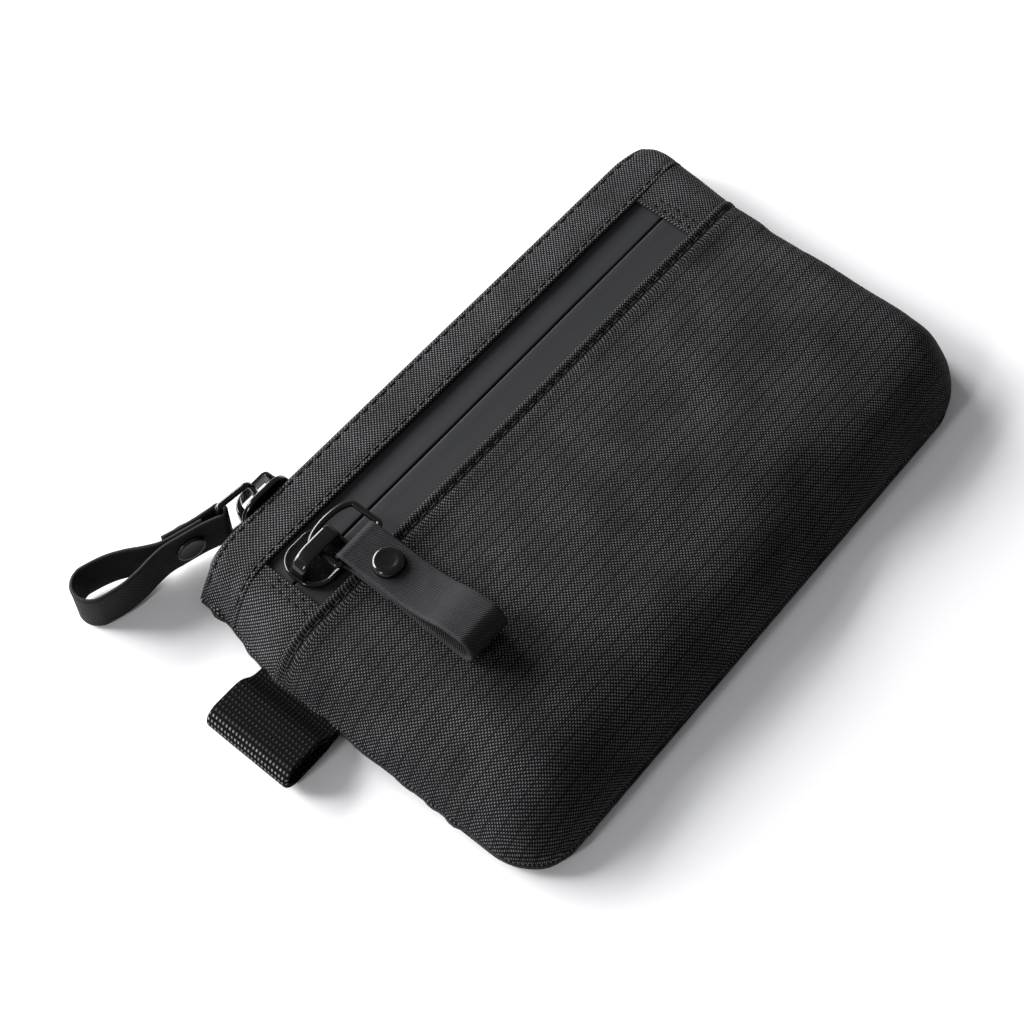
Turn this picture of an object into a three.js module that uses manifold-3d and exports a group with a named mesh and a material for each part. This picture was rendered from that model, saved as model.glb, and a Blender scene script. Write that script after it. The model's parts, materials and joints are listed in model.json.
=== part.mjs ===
// Zippered pouch: a small fabric pouch with a zipped front pocket and a zip along its top edge.
// Millimetres, +Z up. It lies on its back: X runs along both zips, +Y points to the top edge,
// and the origin lies on the flat back face, near its middle. Both zips close toward -X.
import * as THREE from 'three';
import { mergeVertices } from 'three/addons/utils/BufferGeometryUtils.js';
import Module from 'manifold-3d';

// Driving dimensions of the pouch.
const LEFT_EDGE = -69.5;
const RIGHT_EDGE = 72;
const TOP_EDGE = 43.7;
const BOTTOM_EDGE = -44.6;
const CORNER_LEFT = 11;
const CORNER_RIGHT = 15;
const FABRIC = 0.9;
const BACK_THICKNESS = 1.1;
const GAP = 0.3;

// The puffed front: seam level, level at the zip, belly level, level of the top fold.
const SEAM_TOP = 4.4;
const WINDOW_LEVEL = 12.4;
const BELLY_LEVEL = 14.5;
const TOP_FOLD_LEVEL = 11.3;
const BELLY_START_Y = 14;
const BELLY_RUN = 28;
const BOTTOM_FALL = 15;
const LEFT_FALL_TOP = 9;
const LEFT_FALL_BOTTOM = 14;
const RIGHT_FALL_TOP = 4.5;
const RIGHT_FALL_BOTTOM = 7;
const SIDE_FALL_START_Y = 15;
const SIDE_FALL_RUN = 30;

// The zip window in the front.
const BAND_LOWER_Y = 33.5;
const FRONT_SLIT_Y = 26.8;
const PANEL_UPPER_Y = 19.4;
const WINDOW_LEFT_X = -55.5;
const WINDOW_RIGHT_X = 58;
const FRONT_TAPE_LEVEL = 11.2;

// The zip along the top edge.
const MAIN_TAPE_Y = 44;
const MAIN_SLIT_Z = 6.75;
const MAIN_TAPE_LOW_Z = 1.4;
const MAIN_TAPE_HIGH_Z = 10.1;
const MAIN_TAPE_LEFT_X = -64;
const MAIN_TAPE_RIGHT_X = 66.5;
const MAIN_COIL_LEFT_X = -56;
const MAIN_COIL_RIGHT_X = 59;
const FRONT_TAPE_LEFT_X = -58.8;
const FRONT_TAPE_RIGHT_X = 59.2;
const FRONT_COIL_LEFT_X = -55;
const FRONT_COIL_RIGHT_X = 56.7;
const UNDER_PANEL = 3;
const UNDER_BAND = 1.2;

// Zip details.
const TAPE = 0.8;
const SLIT_HALF = 0.8;
const COIL_WIDTH = 1.7;
const COIL_THICKNESS = 1.2;
const STOP_LENGTH = 1.6;
const STOP_HALF_WIDTH = 2.7;

// Sliders.
const FRONT_SLIDER_X = -48.3;
const MAIN_SLIDER_X = -44;
const PLATE_LENGTH = 12.5;
const PLATE_WIDTH = 11;
const PLATE_THICKNESS = 1.2;
const INNER_PLATE_WIDTH = 7.2;
const INNER_PLATE_THICKNESS = 1;
const POST_WIDTH = 0.9;
const POST_LENGTH = 3.4;
const CROWN_WIDTH = 3.3;
const CROWN_HEIGHT = 4.5;
const CROWN_INSIDE = 3.6;
const CROWN_BACK_X = -5.9;
const CROWN_FRONT_X = 5.3;
const RING_ABOVE_PLATE = 2.3;

// D-rings and straps.
const WIRE_RADIUS = 0.68;
const RING_HALF_WIDTH = 5.95;
const RING_CROWN = 3.3;
const RING_STRAIGHT = 0.6;
const RING_BAR_OFFSET = 5.5;
const RING_CORNER = 0.85;
const STRAP_WIDTH = 10;
const STRIP = 1.15;
const NECK_HALF = 1.3;
const EYE_RADIUS = 1;
const STRAP_LENGTH = 31.5;
const LOOP_START = 12.5;
const FRONT_STRAP_LIFT = 4.5;
const MAIN_RING_LEAN = 5.5;
const MAIN_STRAP_LEAN = 11.5;
const MAIN_LOOP_HALF = 4.3;
const FRONT_LOOP_TOP = 6.6;
const LOOP_HOLE_START = LOOP_START + 4.5;

// Rivets.
const RIVET_ALONG = 7.5;
const RIVET_CAP_RADIUS = 3.3;
const RIVET_CAP_HEIGHT = 1.5;
const RIVET_BACK_RADIUS = 3.1;
const RIVET_BACK_THICKNESS = 0.6;
const RIVET_SHANK_RADIUS = 1;
const RIVET_HOLE_RADIUS = 1.35;

// Side loop of webbing.
const WEBBING = 0.9;
const WEBBING_LOW_Y = 3;
const WEBBING_HIGH_Y = 23;
const WEBBING_REACH = 14.5;
const WEBBING_HEIGHT = 6.5;

// Linings and binding.
const LINING = 0.55;
const POCKET_LINING_TOP = 7;
const POCKET_LINING_MARGIN = 9;
const POCKET_LINING_HIGH_Y = 37;
const BACK_LINING_MARGIN = 5.2;
const BACK_LINING_HIGH_Y = 39;
const SEAM_MARGIN = 0.3;
const BINDING_WIDTH = 4.5;
const BINDING_HIGH_Y = 41.2;
const WEBBING_TAIL = 2.7;

const wasm = await Module();
wasm.setup();

function finish(color, roughness, metalness = 0) {
  return new THREE.MeshStandardMaterial({ color, roughness, metalness });
}

const fabricBlack = finish(0x2d2d30, 0.8);
const liningGrey = finish(0x3a3b3e, 0.7);
const coatedTape = finish(0x424346, 0.45);
const coilBlack = finish(0x141416, 0.5);
const webbingBlack = finish(0x0f1012, 0.75);
const strapGrey = finish(0x323336, 0.75);
const glossBlack = finish(0x08080a, 0.18, 0.6);

const pouch = new THREE.Group();

function addPart(parent, name, geometry, material) {
  const mesh = new THREE.Mesh(geometry, material);
  mesh.name = name;
  parent.add(mesh);
  return mesh;
}

// Keep only positions and share the vertices, so that the surface is one closed skin.
function weld(geometry) {
  const bare = geometry.index ? geometry.clone() : geometry;
  bare.deleteAttribute('normal');
  bare.deleteAttribute('uv');
  return mergeVertices(bare, 1e-4);
}

function toSolid(geometry) {
  const skin = weld(geometry);
  const vertProperties = new Float32Array(skin.attributes.position.array);
  const triVerts = new Uint32Array(skin.index.array);
  return new wasm.Manifold(new wasm.Mesh({ numProp: 3, vertProperties, triVerts }));
}

function toGeometry(solid) {
  const mesh = solid.getMesh();
  const geometry = new THREE.BufferGeometry();
  geometry.setAttribute('position', new THREE.BufferAttribute(mesh.vertProperties, 3));
  geometry.setIndex(new THREE.BufferAttribute(mesh.triVerts, 1));
  geometry.computeVertexNormals();
  return geometry;
}

function block(xLow, xHigh, yLow, yHigh, zLow, zHigh) {
  const geometry = new THREE.BoxGeometry(xHigh - xLow, yHigh - yLow, zHigh - zLow);
  geometry.translate((xLow + xHigh) / 2, (yLow + yHigh) / 2, (zLow + zHigh) / 2);
  return geometry;
}

function ramp(t) {
  const clamped = THREE.MathUtils.clamp(t, 0, 1);
  return Math.sin(clamped * Math.PI / 2);
}

// How far the plan outline is pulled in by a rounded bottom corner.
function cornerInset(y, radius) {
  const up = y - BOTTOM_EDGE;
  if (up >= radius) return 0;
  return radius - Math.sqrt(Math.max(radius * radius - (radius - up) ** 2, 0));
}

function leftEdge(y) {
  return LEFT_EDGE + cornerInset(y, CORNER_LEFT);
}

function rightEdge(y) {
  return RIGHT_EDGE - cornerInset(y, CORNER_RIGHT);
}

// Outer surface of the front fabric, away from the side and bottom seams.
function crownLevel(y) {
  if (y > BAND_LOWER_Y) {
    return THREE.MathUtils.mapLinear(y, BAND_LOWER_Y, TOP_EDGE, WINDOW_LEVEL, TOP_FOLD_LEVEL);
  }
  const belly = THREE.MathUtils.smoothstep(BELLY_START_Y - y, 0, BELLY_RUN);
  return WINDOW_LEVEL + (BELLY_LEVEL - WINDOW_LEVEL) * belly;
}

// The front rises from the seams on its left, right and bottom, and most steeply on the right.
function frontLevel(x, y) {
  const isLeft = x < 0;
  const fromSide = isLeft ? x - leftEdge(y) : rightEdge(y) - x;
  const fallTop = isLeft ? LEFT_FALL_TOP : RIGHT_FALL_TOP;
  const fallBottom = isLeft ? LEFT_FALL_BOTTOM : RIGHT_FALL_BOTTOM;
  const towardBottom = THREE.MathUtils.smoothstep(SIDE_FALL_START_Y - y, 0, SIDE_FALL_RUN);
  const sideFall = THREE.MathUtils.lerp(fallTop, fallBottom, towardBottom);
  const rise = ramp(fromSide / sideFall) * ramp((y - BOTTOM_EDGE) / BOTTOM_FALL);
  return SEAM_TOP + (crownLevel(y) - SEAM_TOP) * rise;
}

// A fabric sheet that follows the front's surface, with steps gathered toward graded edges.
function frontSheet({ left, right, low, high, columns, rows, gradeX = true, gradeY = false }) {
  const geometry = new THREE.BoxGeometry(1, 1, 1, columns, rows, 1);
  const place = geometry.attributes.position;
  for (let i = 0; i < place.count; i += 1) {
    const u = 2 * place.getX(i);
    const across = gradeX ? 0.5 + 0.5 * (1.5 * u - 0.5 * u ** 3) : 0.5 + 0.5 * u;
    const v = place.getY(i) + 0.5;
    const up = gradeY ? v * (0.45 + 0.55 * v) : v;
    const y = THREE.MathUtils.lerp(low, high, up);
    const x = THREE.MathUtils.lerp(left(y), right(y), across);
    const under = place.getZ(i) < 0 ? FABRIC : 0;
    place.setXYZ(i, x, y, frontLevel(x, y) - under);
  }
  return geometry;
}

function frontPanel() {
  return frontSheet({
    left: leftEdge, right: rightEdge, low: BOTTOM_EDGE + SEAM_MARGIN, high: PANEL_UPPER_Y,
    columns: 24, rows: 14, gradeY: true,
  });
}

function topBand() {
  return frontSheet({
    left: leftEdge, right: rightEdge, low: BAND_LOWER_Y, high: TOP_EDGE, columns: 20, rows: 3,
  });
}

function endPatch(left, right) {
  return frontSheet({
    left: () => left, right: () => right, low: PANEL_UPPER_Y + GAP, high: BAND_LOWER_Y - GAP,
    columns: 8, rows: 3, gradeX: false,
  });
}

// Plan outline with rounded bottom corners, pulled in by a margin.
function planOutline(margin, radiusLeft, radiusRight, top) {
  const left = LEFT_EDGE + margin;
  const right = RIGHT_EDGE - margin;
  const bottom = BOTTOM_EDGE + margin;
  const leftX = left + radiusLeft;
  const rightX = right - radiusRight;
  const half = Math.PI;
  const outline = new THREE.Shape();
  outline.moveTo(right, top);
  outline.lineTo(left, top);
  outline.lineTo(left, bottom + radiusLeft);
  outline.absarc(leftX, bottom + radiusLeft, radiusLeft, half, 1.5 * half, false);
  outline.lineTo(rightX, bottom);
  outline.absarc(rightX, bottom + radiusRight, radiusRight, 1.5 * half, 2 * half, false);
  outline.closePath();
  return outline;
}

function flatSheet(outline, zLow, thickness) {
  const settings = { depth: thickness, bevelEnabled: false, curveSegments: 6 };
  const geometry = new THREE.ExtrudeGeometry(outline, settings);
  geometry.translate(0, 0, zLow);
  return geometry;
}

// Turned seam allowance: a U-shaped strip between the two panels, with room for the webbing's tail.
function seamBinding() {
  const zLow = BACK_THICKNESS + GAP;
  const height = SEAM_TOP - FABRIC - GAP - zLow;
  const outer = planOutline(SEAM_MARGIN, CORNER_LEFT, CORNER_RIGHT, BINDING_HIGH_Y);
  const innerMargin = SEAM_MARGIN + BINDING_WIDTH;
  const innerLeft = CORNER_LEFT - BINDING_WIDTH;
  const innerRight = CORNER_RIGHT - BINDING_WIDTH;
  const inner = planOutline(innerMargin, innerLeft, innerRight, TOP_EDGE);
  const ring = toSolid(flatSheet(outer, zLow, height));
  const middle = toSolid(flatSheet(inner, zLow - 1, height + 2));
  const notchEnd = LEFT_EDGE + WEBBING_TAIL + GAP;
  const notch = toSolid(block(
    LEFT_EDGE - 1, notchEnd, WEBBING_LOW_Y - GAP, WEBBING_HIGH_Y + GAP, 0, SEAM_TOP,
  ));
  return toGeometry(ring.subtract(middle).subtract(notch));
}

// Webbing folded to a loop, its two ends laid together and sewn into the side seam.
function webbingLoop() {
  const neckLow = BACK_THICKNESS + GAP + 0.05;
  const neckHigh = neckLow + 2 * WEBBING;
  const tailX = LEFT_EDGE + WEBBING_TAIL;
  const neckX = LEFT_EDGE - 0.6;
  const flareTopX = LEFT_EDGE - 6;
  const flareLowX = LEFT_EDGE - 3.5;
  const holeTipX = LEFT_EDGE - 2.6;
  const low = 0.2;
  const high = low + WEBBING_HEIGHT;
  const round = WEBBING_HEIGHT / 2;
  const roundX = LEFT_EDGE - WEBBING_REACH + round;
  const quarter = Math.PI / 2;
  const outline = new THREE.Shape();
  outline.moveTo(tailX, neckLow);
  outline.lineTo(tailX, neckHigh);
  outline.lineTo(neckX, neckHigh);
  outline.bezierCurveTo(neckX - 2.4, neckHigh, neckX - 2.6, high, flareTopX, high);
  outline.lineTo(roundX, high);
  outline.absarc(roundX, low + round, round, quarter, 3 * quarter, false);
  outline.lineTo(flareLowX, low);
  outline.bezierCurveTo(neckX - 1.6, low, neckX - 1.4, neckLow, neckX, neckLow);
  outline.closePath();
  const hole = new THREE.Path();
  const holeHigh = high - WEBBING;
  hole.moveTo(holeTipX, neckLow + WEBBING);
  hole.bezierCurveTo(holeTipX - 0.8, neckHigh - WEBBING, holeTipX - 1.4, holeHigh, flareTopX, holeHigh);
  hole.lineTo(roundX, holeHigh);
  hole.absarc(roundX, low + round, round - WEBBING, quarter, 3 * quarter, false);
  hole.lineTo(flareLowX - 0.3, low + WEBBING);
  hole.closePath();
  outline.holes.push(hole);
  const settings = { depth: WEBBING_HIGH_Y - WEBBING_LOW_Y, bevelEnabled: false, curveSegments: 6 };
  const geometry = new THREE.ExtrudeGeometry(outline, settings);
  // The outline is drawn in X and Z: stand it up and let the width run from the high Y to the low Y.
  geometry.rotateX(quarter);
  geometry.translate(0, WEBBING_HIGH_Y, 0);
  return geometry;
}

// One half of a zip in the zip's own frame: the slit along X, the tape's outer face at z = 0.
// The reach across is a function of x, so that a tape can narrow where the front falls to a seam.
function zipTape(side, xLow, xHigh, reachAt) {
  const steps = 44;
  const outline = new THREE.Shape();
  outline.moveTo(xHigh, side * SLIT_HALF);
  outline.lineTo(xLow, side * SLIT_HALF);
  for (let i = 0; i <= steps; i += 1) {
    const x = THREE.MathUtils.lerp(xLow, xHigh, i / steps);
    const isBend = i === 0 || i === steps || reachAt(x) < reachAt(0);
    if (isBend) outline.lineTo(x, side * reachAt(x));
  }
  outline.closePath();
  const geometry = new THREE.ExtrudeGeometry(outline, { depth: TAPE, bevelEnabled: false });
  geometry.translate(0, 0, -TAPE);
  return geometry;
}

function zipCoil(side, xLow, xHigh) {
  const outline = new THREE.Shape();
  const halfWidth = COIL_WIDTH / 2;
  const halfThick = COIL_THICKNESS / 2;
  outline.absellipse(0, 0, halfThick, halfWidth, 0, 2 * Math.PI, false, 0);
  const geometry = new THREE.ExtrudeGeometry(outline, {
    depth: xHigh - xLow, bevelEnabled: false, curveSegments: 5,
  });
  geometry.rotateY(Math.PI / 2);
  geometry.translate(xLow, side * (SLIT_HALF + 0.1 + halfWidth), -TAPE - GAP - halfThick);
  return geometry;
}

function zipStop(x) {
  const high = -TAPE - GAP;
  return block(x, x + STOP_LENGTH, -STOP_HALF_WIDTH, STOP_HALF_WIDTH, high - COIL_THICKNESS, high);
}

function addZip(zip, label, halves, tape, coil) {
  halves.forEach((half, i) => {
    const side = i === 0 ? -1 : 1;
    const strip = zipTape(side, tape.left, tape.right, tape.reach[i]);
    addPart(zip, `${label}_zip_tape_${half}`, strip, coatedTape);
    addPart(zip, `${label}_zip_coil_${half}`, zipCoil(side, coil.left, coil.right), coilBlack);
  });
  addPart(zip, `${label}_zip_closed_end_stop`, zipStop(coil.left - GAP - STOP_LENGTH), glossBlack);
  addPart(zip, `${label}_zip_open_end_stop`, zipStop(coil.right + GAP), glossBlack);
}

function roundedRectangle(length, width, radius) {
  const a = length / 2;
  const b = width / 2;
  const outline = new THREE.Shape();
  outline.moveTo(-a + radius, -b);
  outline.lineTo(a - radius, -b);
  outline.absarc(a - radius, -b + radius, radius, -Math.PI / 2, 0, false);
  outline.lineTo(a, b - radius);
  outline.absarc(a - radius, b - radius, radius, 0, Math.PI / 2, false);
  outline.lineTo(-a + radius, b);
  outline.absarc(-a + radius, b - radius, radius, Math.PI / 2, Math.PI, false);
  outline.lineTo(-a, -b + radius);
  outline.absarc(-a + radius, -b + radius, radius, Math.PI, 1.5 * Math.PI, false);
  return outline;
}

// Slider body: outer plate, post in the slit and inner plate, cast in one.
function sliderBody() {
  const bevel = 0.3;
  const cornerRadius = 3.4;
  const innerCornerRadius = 2.4;
  const innerPlateLength = PLATE_LENGTH - 1.5;
  const coilRoom = 0.4;
  const sunkIn = 0.5;
  const face = roundedRectangle(PLATE_LENGTH - 2 * bevel, PLATE_WIDTH - 2 * bevel, cornerRadius);
  const outer = new THREE.ExtrudeGeometry(face, {
    depth: PLATE_THICKNESS - 2 * bevel,
    bevelThickness: bevel,
    bevelSize: bevel,
    bevelSegments: 1,
    curveSegments: 5,
  });
  outer.translate(0, 0, GAP + bevel);
  const innerTop = -TAPE - GAP - COIL_THICKNESS - coilRoom;
  const innerFace = roundedRectangle(innerPlateLength, INNER_PLATE_WIDTH, innerCornerRadius);
  const innerSettings = { depth: INNER_PLATE_THICKNESS, bevelEnabled: false, curveSegments: 4 };
  const inner = new THREE.ExtrudeGeometry(innerFace, innerSettings);
  inner.translate(0, 0, innerTop - INNER_PLATE_THICKNESS);
  const postX = POST_LENGTH / 2;
  const postY = POST_WIDTH / 2;
  const post = block(-postX, postX, -postY, postY, innerTop - sunkIn, GAP + sunkIn);
  return toGeometry(toSolid(outer).add(toSolid(post)).add(toSolid(inner)));
}

// Crown: the bridge along the slider that holds the ring, low and round behind, high and square ahead.
function sliderCrown() {
  const foot = GAP;
  const wall = 1.4;
  const backInside = CROWN_BACK_X + 1.6;
  const frontInside = CROWN_FRONT_X - wall;
  const roundEndX = -1.6;
  const shoulderX = 3.6;
  const shoulderDrop = 0.6;
  const backDrop = 0.1;
  const outline = new THREE.Shape();
  outline.moveTo(CROWN_BACK_X, foot);
  outline.bezierCurveTo(
    CROWN_BACK_X, 2.4, CROWN_BACK_X + 1.3, CROWN_HEIGHT - 0.5, roundEndX, CROWN_HEIGHT - backDrop,
  );
  outline.lineTo(shoulderX, CROWN_HEIGHT);
  outline.lineTo(CROWN_FRONT_X - backDrop, CROWN_HEIGHT - shoulderDrop);
  outline.lineTo(CROWN_FRONT_X, foot);
  outline.lineTo(frontInside, foot);
  outline.lineTo(frontInside, CROWN_INSIDE);
  outline.lineTo(roundEndX - 0.8, CROWN_INSIDE);
  outline.quadraticCurveTo(backInside + 0.3, CROWN_INSIDE - 0.4, backInside, foot);
  outline.closePath();
  const settings = { depth: CROWN_WIDTH, bevelEnabled: false, curveSegments: 5 };
  const geometry = new THREE.ExtrudeGeometry(outline, settings);
  geometry.rotateX(Math.PI / 2);
  geometry.translate(0, CROWN_WIDTH / 2, GAP + PLATE_THICKNESS);
  return geometry;
}

// Centre line of a D-ring in its own plane: an arched top, square corners and a bar below.
class RingPath extends THREE.Curve {
  constructor() {
    super();
    this.path = new THREE.CurvePath();
    const a = RING_HALF_WIDTH;
    const rise = RING_CROWN - RING_STRAIGHT;
    const c = RING_CORNER;
    const low = -RING_BAR_OFFSET;
    const cornerY = low + c;
    const half = Math.PI;
    const line = (x1, y1, x2, y2) => {
      const from = new THREE.Vector2(x1, y1);
      const to = new THREE.Vector2(x2, y2);
      this.path.add(new THREE.LineCurve(from, to));
    };
    const arc = (x, y, radiusX, radiusY, from, to) => {
      this.path.add(new THREE.EllipseCurve(x, y, radiusX, radiusY, from, to, false, 0));
    };
    arc(0, RING_STRAIGHT, a, rise, 0, half);
    line(-a, RING_STRAIGHT, -a, cornerY);
    arc(-a + c, cornerY, c, c, half, 1.5 * half);
    line(-a + c, low, a - c, low);
    arc(a - c, cornerY, c, c, 1.5 * half, 2 * half);
    line(a, cornerY, a, RING_STRAIGHT);
  }

  getPoint(t, target = new THREE.Vector3()) {
    const point = this.path.getPoint(t % 1);
    return target.set(point.x, point.y, 0);
  }
}

function dRing() {
  const stepsAlong = 60;
  const stepsAround = 8;
  return new THREE.TubeGeometry(new RingPath(), stepsAlong, WIRE_RADIUS, stepsAround, true);
}

// Strap seen from its side: s runs from the ring's bar to the loop's end, n is its thickness.
function strap(loopLow, loopHigh) {
  const eyeOuter = EYE_RADIUS + STRIP - 0.05;
  const eyeAngle = Math.asin(NECK_HALF / eyeOuter);
  const quarter = Math.PI / 2;
  const round = (loopHigh - loopLow) / 2;
  const middle = (loopHigh + loopLow) / 2;
  const endCentre = STRAP_LENGTH - round;
  const easeStart = 4;
  const easeEnd = 6;
  const outline = new THREE.Shape();
  outline.absarc(0, 0, eyeOuter, eyeAngle, 2 * Math.PI - eyeAngle, false);
  outline.lineTo(LOOP_START, -NECK_HALF);
  outline.bezierCurveTo(
    LOOP_START + easeStart, -NECK_HALF, endCentre - easeEnd, loopLow, endCentre, loopLow,
  );
  outline.absarc(endCentre, middle, round, -quarter, quarter, false);
  outline.bezierCurveTo(
    endCentre - easeEnd, loopHigh, LOOP_START + easeStart + 1, NECK_HALF, LOOP_START, NECK_HALF,
  );
  outline.closePath();
  const eye = new THREE.Path();
  eye.absarc(0, 0, EYE_RADIUS, 0, 2 * Math.PI, true);
  outline.holes.push(eye);
  const hole = new THREE.Path();
  const holeLow = loopLow + STRIP;
  const holeHigh = loopHigh - STRIP;
  const tipLow = Math.max(-NECK_HALF + STRIP, holeLow);
  const tipHigh = NECK_HALF - 1;
  hole.moveTo(LOOP_HOLE_START, tipLow);
  hole.bezierCurveTo(
    LOOP_HOLE_START + 1.5, holeLow, endCentre - easeEnd, holeLow, endCentre, holeLow,
  );
  hole.absarc(endCentre, middle, round - STRIP, -quarter, quarter, false);
  hole.bezierCurveTo(
    endCentre - 4.5, holeHigh, LOOP_HOLE_START + 3.5, tipHigh + 0.8, LOOP_HOLE_START, tipHigh,
  );
  hole.closePath();
  outline.holes.push(hole);
  const settings = { depth: STRAP_WIDTH, bevelEnabled: false, curveSegments: 6 };
  const geometry = new THREE.ExtrudeGeometry(outline, settings);
  geometry.translate(0, 0, -STRAP_WIDTH / 2);
  const drillLength = 3 * NECK_HALF;
  const drill = new THREE.CylinderGeometry(RIVET_HOLE_RADIUS, RIVET_HOLE_RADIUS, drillLength, 12);
  drill.translate(RIVET_ALONG, 0, 0);
  return toGeometry(toSolid(geometry).subtract(toSolid(drill)));
}

// Domed rivet cap with its shank, about the rivet's axis.
function rivetCap() {
  const seat = NECK_HALF + GAP;
  const r = RIVET_CAP_RADIUS;
  const h = RIVET_CAP_HEIGHT;
  const shankEnd = -NECK_HALF + 0.1;
  const profile = [
    [0, shankEnd],
    [RIVET_SHANK_RADIUS, shankEnd],
    [RIVET_SHANK_RADIUS, seat],
    [r - 0.3, seat],
    [r, seat + 0.35],
    [r - 0.35, seat + 0.9],
    [r - 1.1, seat + h - 0.2],
    [r - 1.7, seat + h],
    [0, seat + h],
  ].map(([x, y]) => new THREE.Vector2(x, y));
  const geometry = new THREE.LatheGeometry(profile, 20);
  geometry.translate(RIVET_ALONG, 0, 0);
  return geometry;
}

function rivetBack() {
  const r = RIVET_BACK_RADIUS;
  const geometry = new THREE.CylinderGeometry(r, r, RIVET_BACK_THICKNESS, 20);
  geometry.translate(RIVET_ALONG, -NECK_HALF - GAP - RIVET_BACK_THICKNESS / 2, 0);
  return geometry;
}

// Turn a strap's frame: its length along one direction and its thickness along another.
function turnAxes(group, along, thick) {
  const lengthways = new THREE.Vector3(...along);
  const outward = new THREE.Vector3(...thick);
  const sideways = new THREE.Vector3().crossVectors(lengthways, outward);
  group.quaternion.setFromRotationMatrix(new THREE.Matrix4().makeBasis(lengthways, outward, sideways));
}

function addStrap(holder, label, loopLow, loopHigh) {
  addPart(holder, `${label}_strap`, strap(loopLow, loopHigh), strapGrey);
  addPart(holder, `${label}_rivet_cap`, rivetCap(), glossBlack);
  addPart(holder, `${label}_rivet_back`, rivetBack(), glossBlack);
}

// Slider with its crown, in the zip's frame at x = 0. Returns the group that turns with the ring.
function addSlider(zip, label, x) {
  const slider = new THREE.Group();
  slider.position.x = x;
  zip.add(slider);
  addPart(slider, `${label}_slider_body`, sliderBody(), glossBlack);
  addPart(slider, `${label}_slider_crown`, sliderCrown(), glossBlack);
  const turning = new THREE.Group();
  turning.position.z = GAP + PLATE_THICKNESS + RING_ABOVE_PLATE;
  slider.add(turning);
  return turning;
}

// A lining cut like the back panel, but smaller by a margin and lower at the top.
function liningSheet(margin, inset, top, zLow) {
  const outline = planOutline(margin, CORNER_LEFT - inset, CORNER_RIGHT - inset, top);
  return flatSheet(outline, zLow, LINING);
}

function addFabric() {
  const backOutline = planOutline(0, CORNER_LEFT, CORNER_RIGHT, TOP_EDGE);
  addPart(pouch, 'back_panel', flatSheet(backOutline, 0, BACK_THICKNESS), fabricBlack);
  addPart(pouch, 'front_panel', frontPanel(), fabricBlack);
  addPart(pouch, 'front_top_band', topBand(), fabricBlack);
  const patchLeft = endPatch(LEFT_EDGE + GAP, WINDOW_LEFT_X);
  addPart(pouch, 'window_end_patch_left', patchLeft, fabricBlack);
  const patchRight = endPatch(WINDOW_RIGHT_X, RIGHT_EDGE - GAP);
  addPart(pouch, 'window_end_patch_right', patchRight, fabricBlack);
  const divider = liningSheet(
    POCKET_LINING_MARGIN, 2, POCKET_LINING_HIGH_Y, POCKET_LINING_TOP - LINING,
  );
  addPart(pouch, 'pocket_divider_lining', divider, liningGrey);
  const backLining = liningSheet(
    BACK_LINING_MARGIN, 4.2, BACK_LINING_HIGH_Y, BACK_THICKNESS + GAP,
  );
  addPart(pouch, 'back_lining', backLining, liningGrey);
  addPart(pouch, 'seam_binding', seamBinding(), fabricBlack);
  addPart(pouch, 'side_webbing_loop', webbingLoop(), webbingBlack);
}

// Front zip: its frame has the slit along X and faces up.
function addFrontZip() {
  const zip = new THREE.Group();
  zip.position.set(0, FRONT_SLIT_Y, FRONT_TAPE_LEVEL);
  pouch.add(zip);
  const lowerReach = FRONT_SLIT_Y - PANEL_UPPER_Y + UNDER_PANEL;
  const upperReach = BAND_LOWER_Y - FRONT_SLIT_Y + UNDER_BAND;
  const reach = [() => lowerReach, () => upperReach];
  const tape = { left: FRONT_TAPE_LEFT_X, right: FRONT_TAPE_RIGHT_X, reach };
  const coil = { left: FRONT_COIL_LEFT_X, right: FRONT_COIL_RIGHT_X };
  addZip(zip, 'front', ['lower', 'upper'], tape, coil);
  const turning = addSlider(zip, 'front', FRONT_SLIDER_X);
  const ring = addPart(turning, 'front_d_ring', dRing(), glossBlack);
  ring.position.x = RING_HALF_WIDTH;
  const strapHolder = new THREE.Group();
  strapHolder.position.set(RING_HALF_WIDTH, -RING_BAR_OFFSET, 0);
  turnAxes(strapHolder, [0, -1, 0], [0, 0, 1]);
  const lift = new THREE.Group();
  lift.rotation.z = THREE.MathUtils.degToRad(FRONT_STRAP_LIFT);
  strapHolder.add(lift);
  turning.add(strapHolder);
  addStrap(lift, 'front', -NECK_HALF, FRONT_LOOP_TOP);
}

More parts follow.
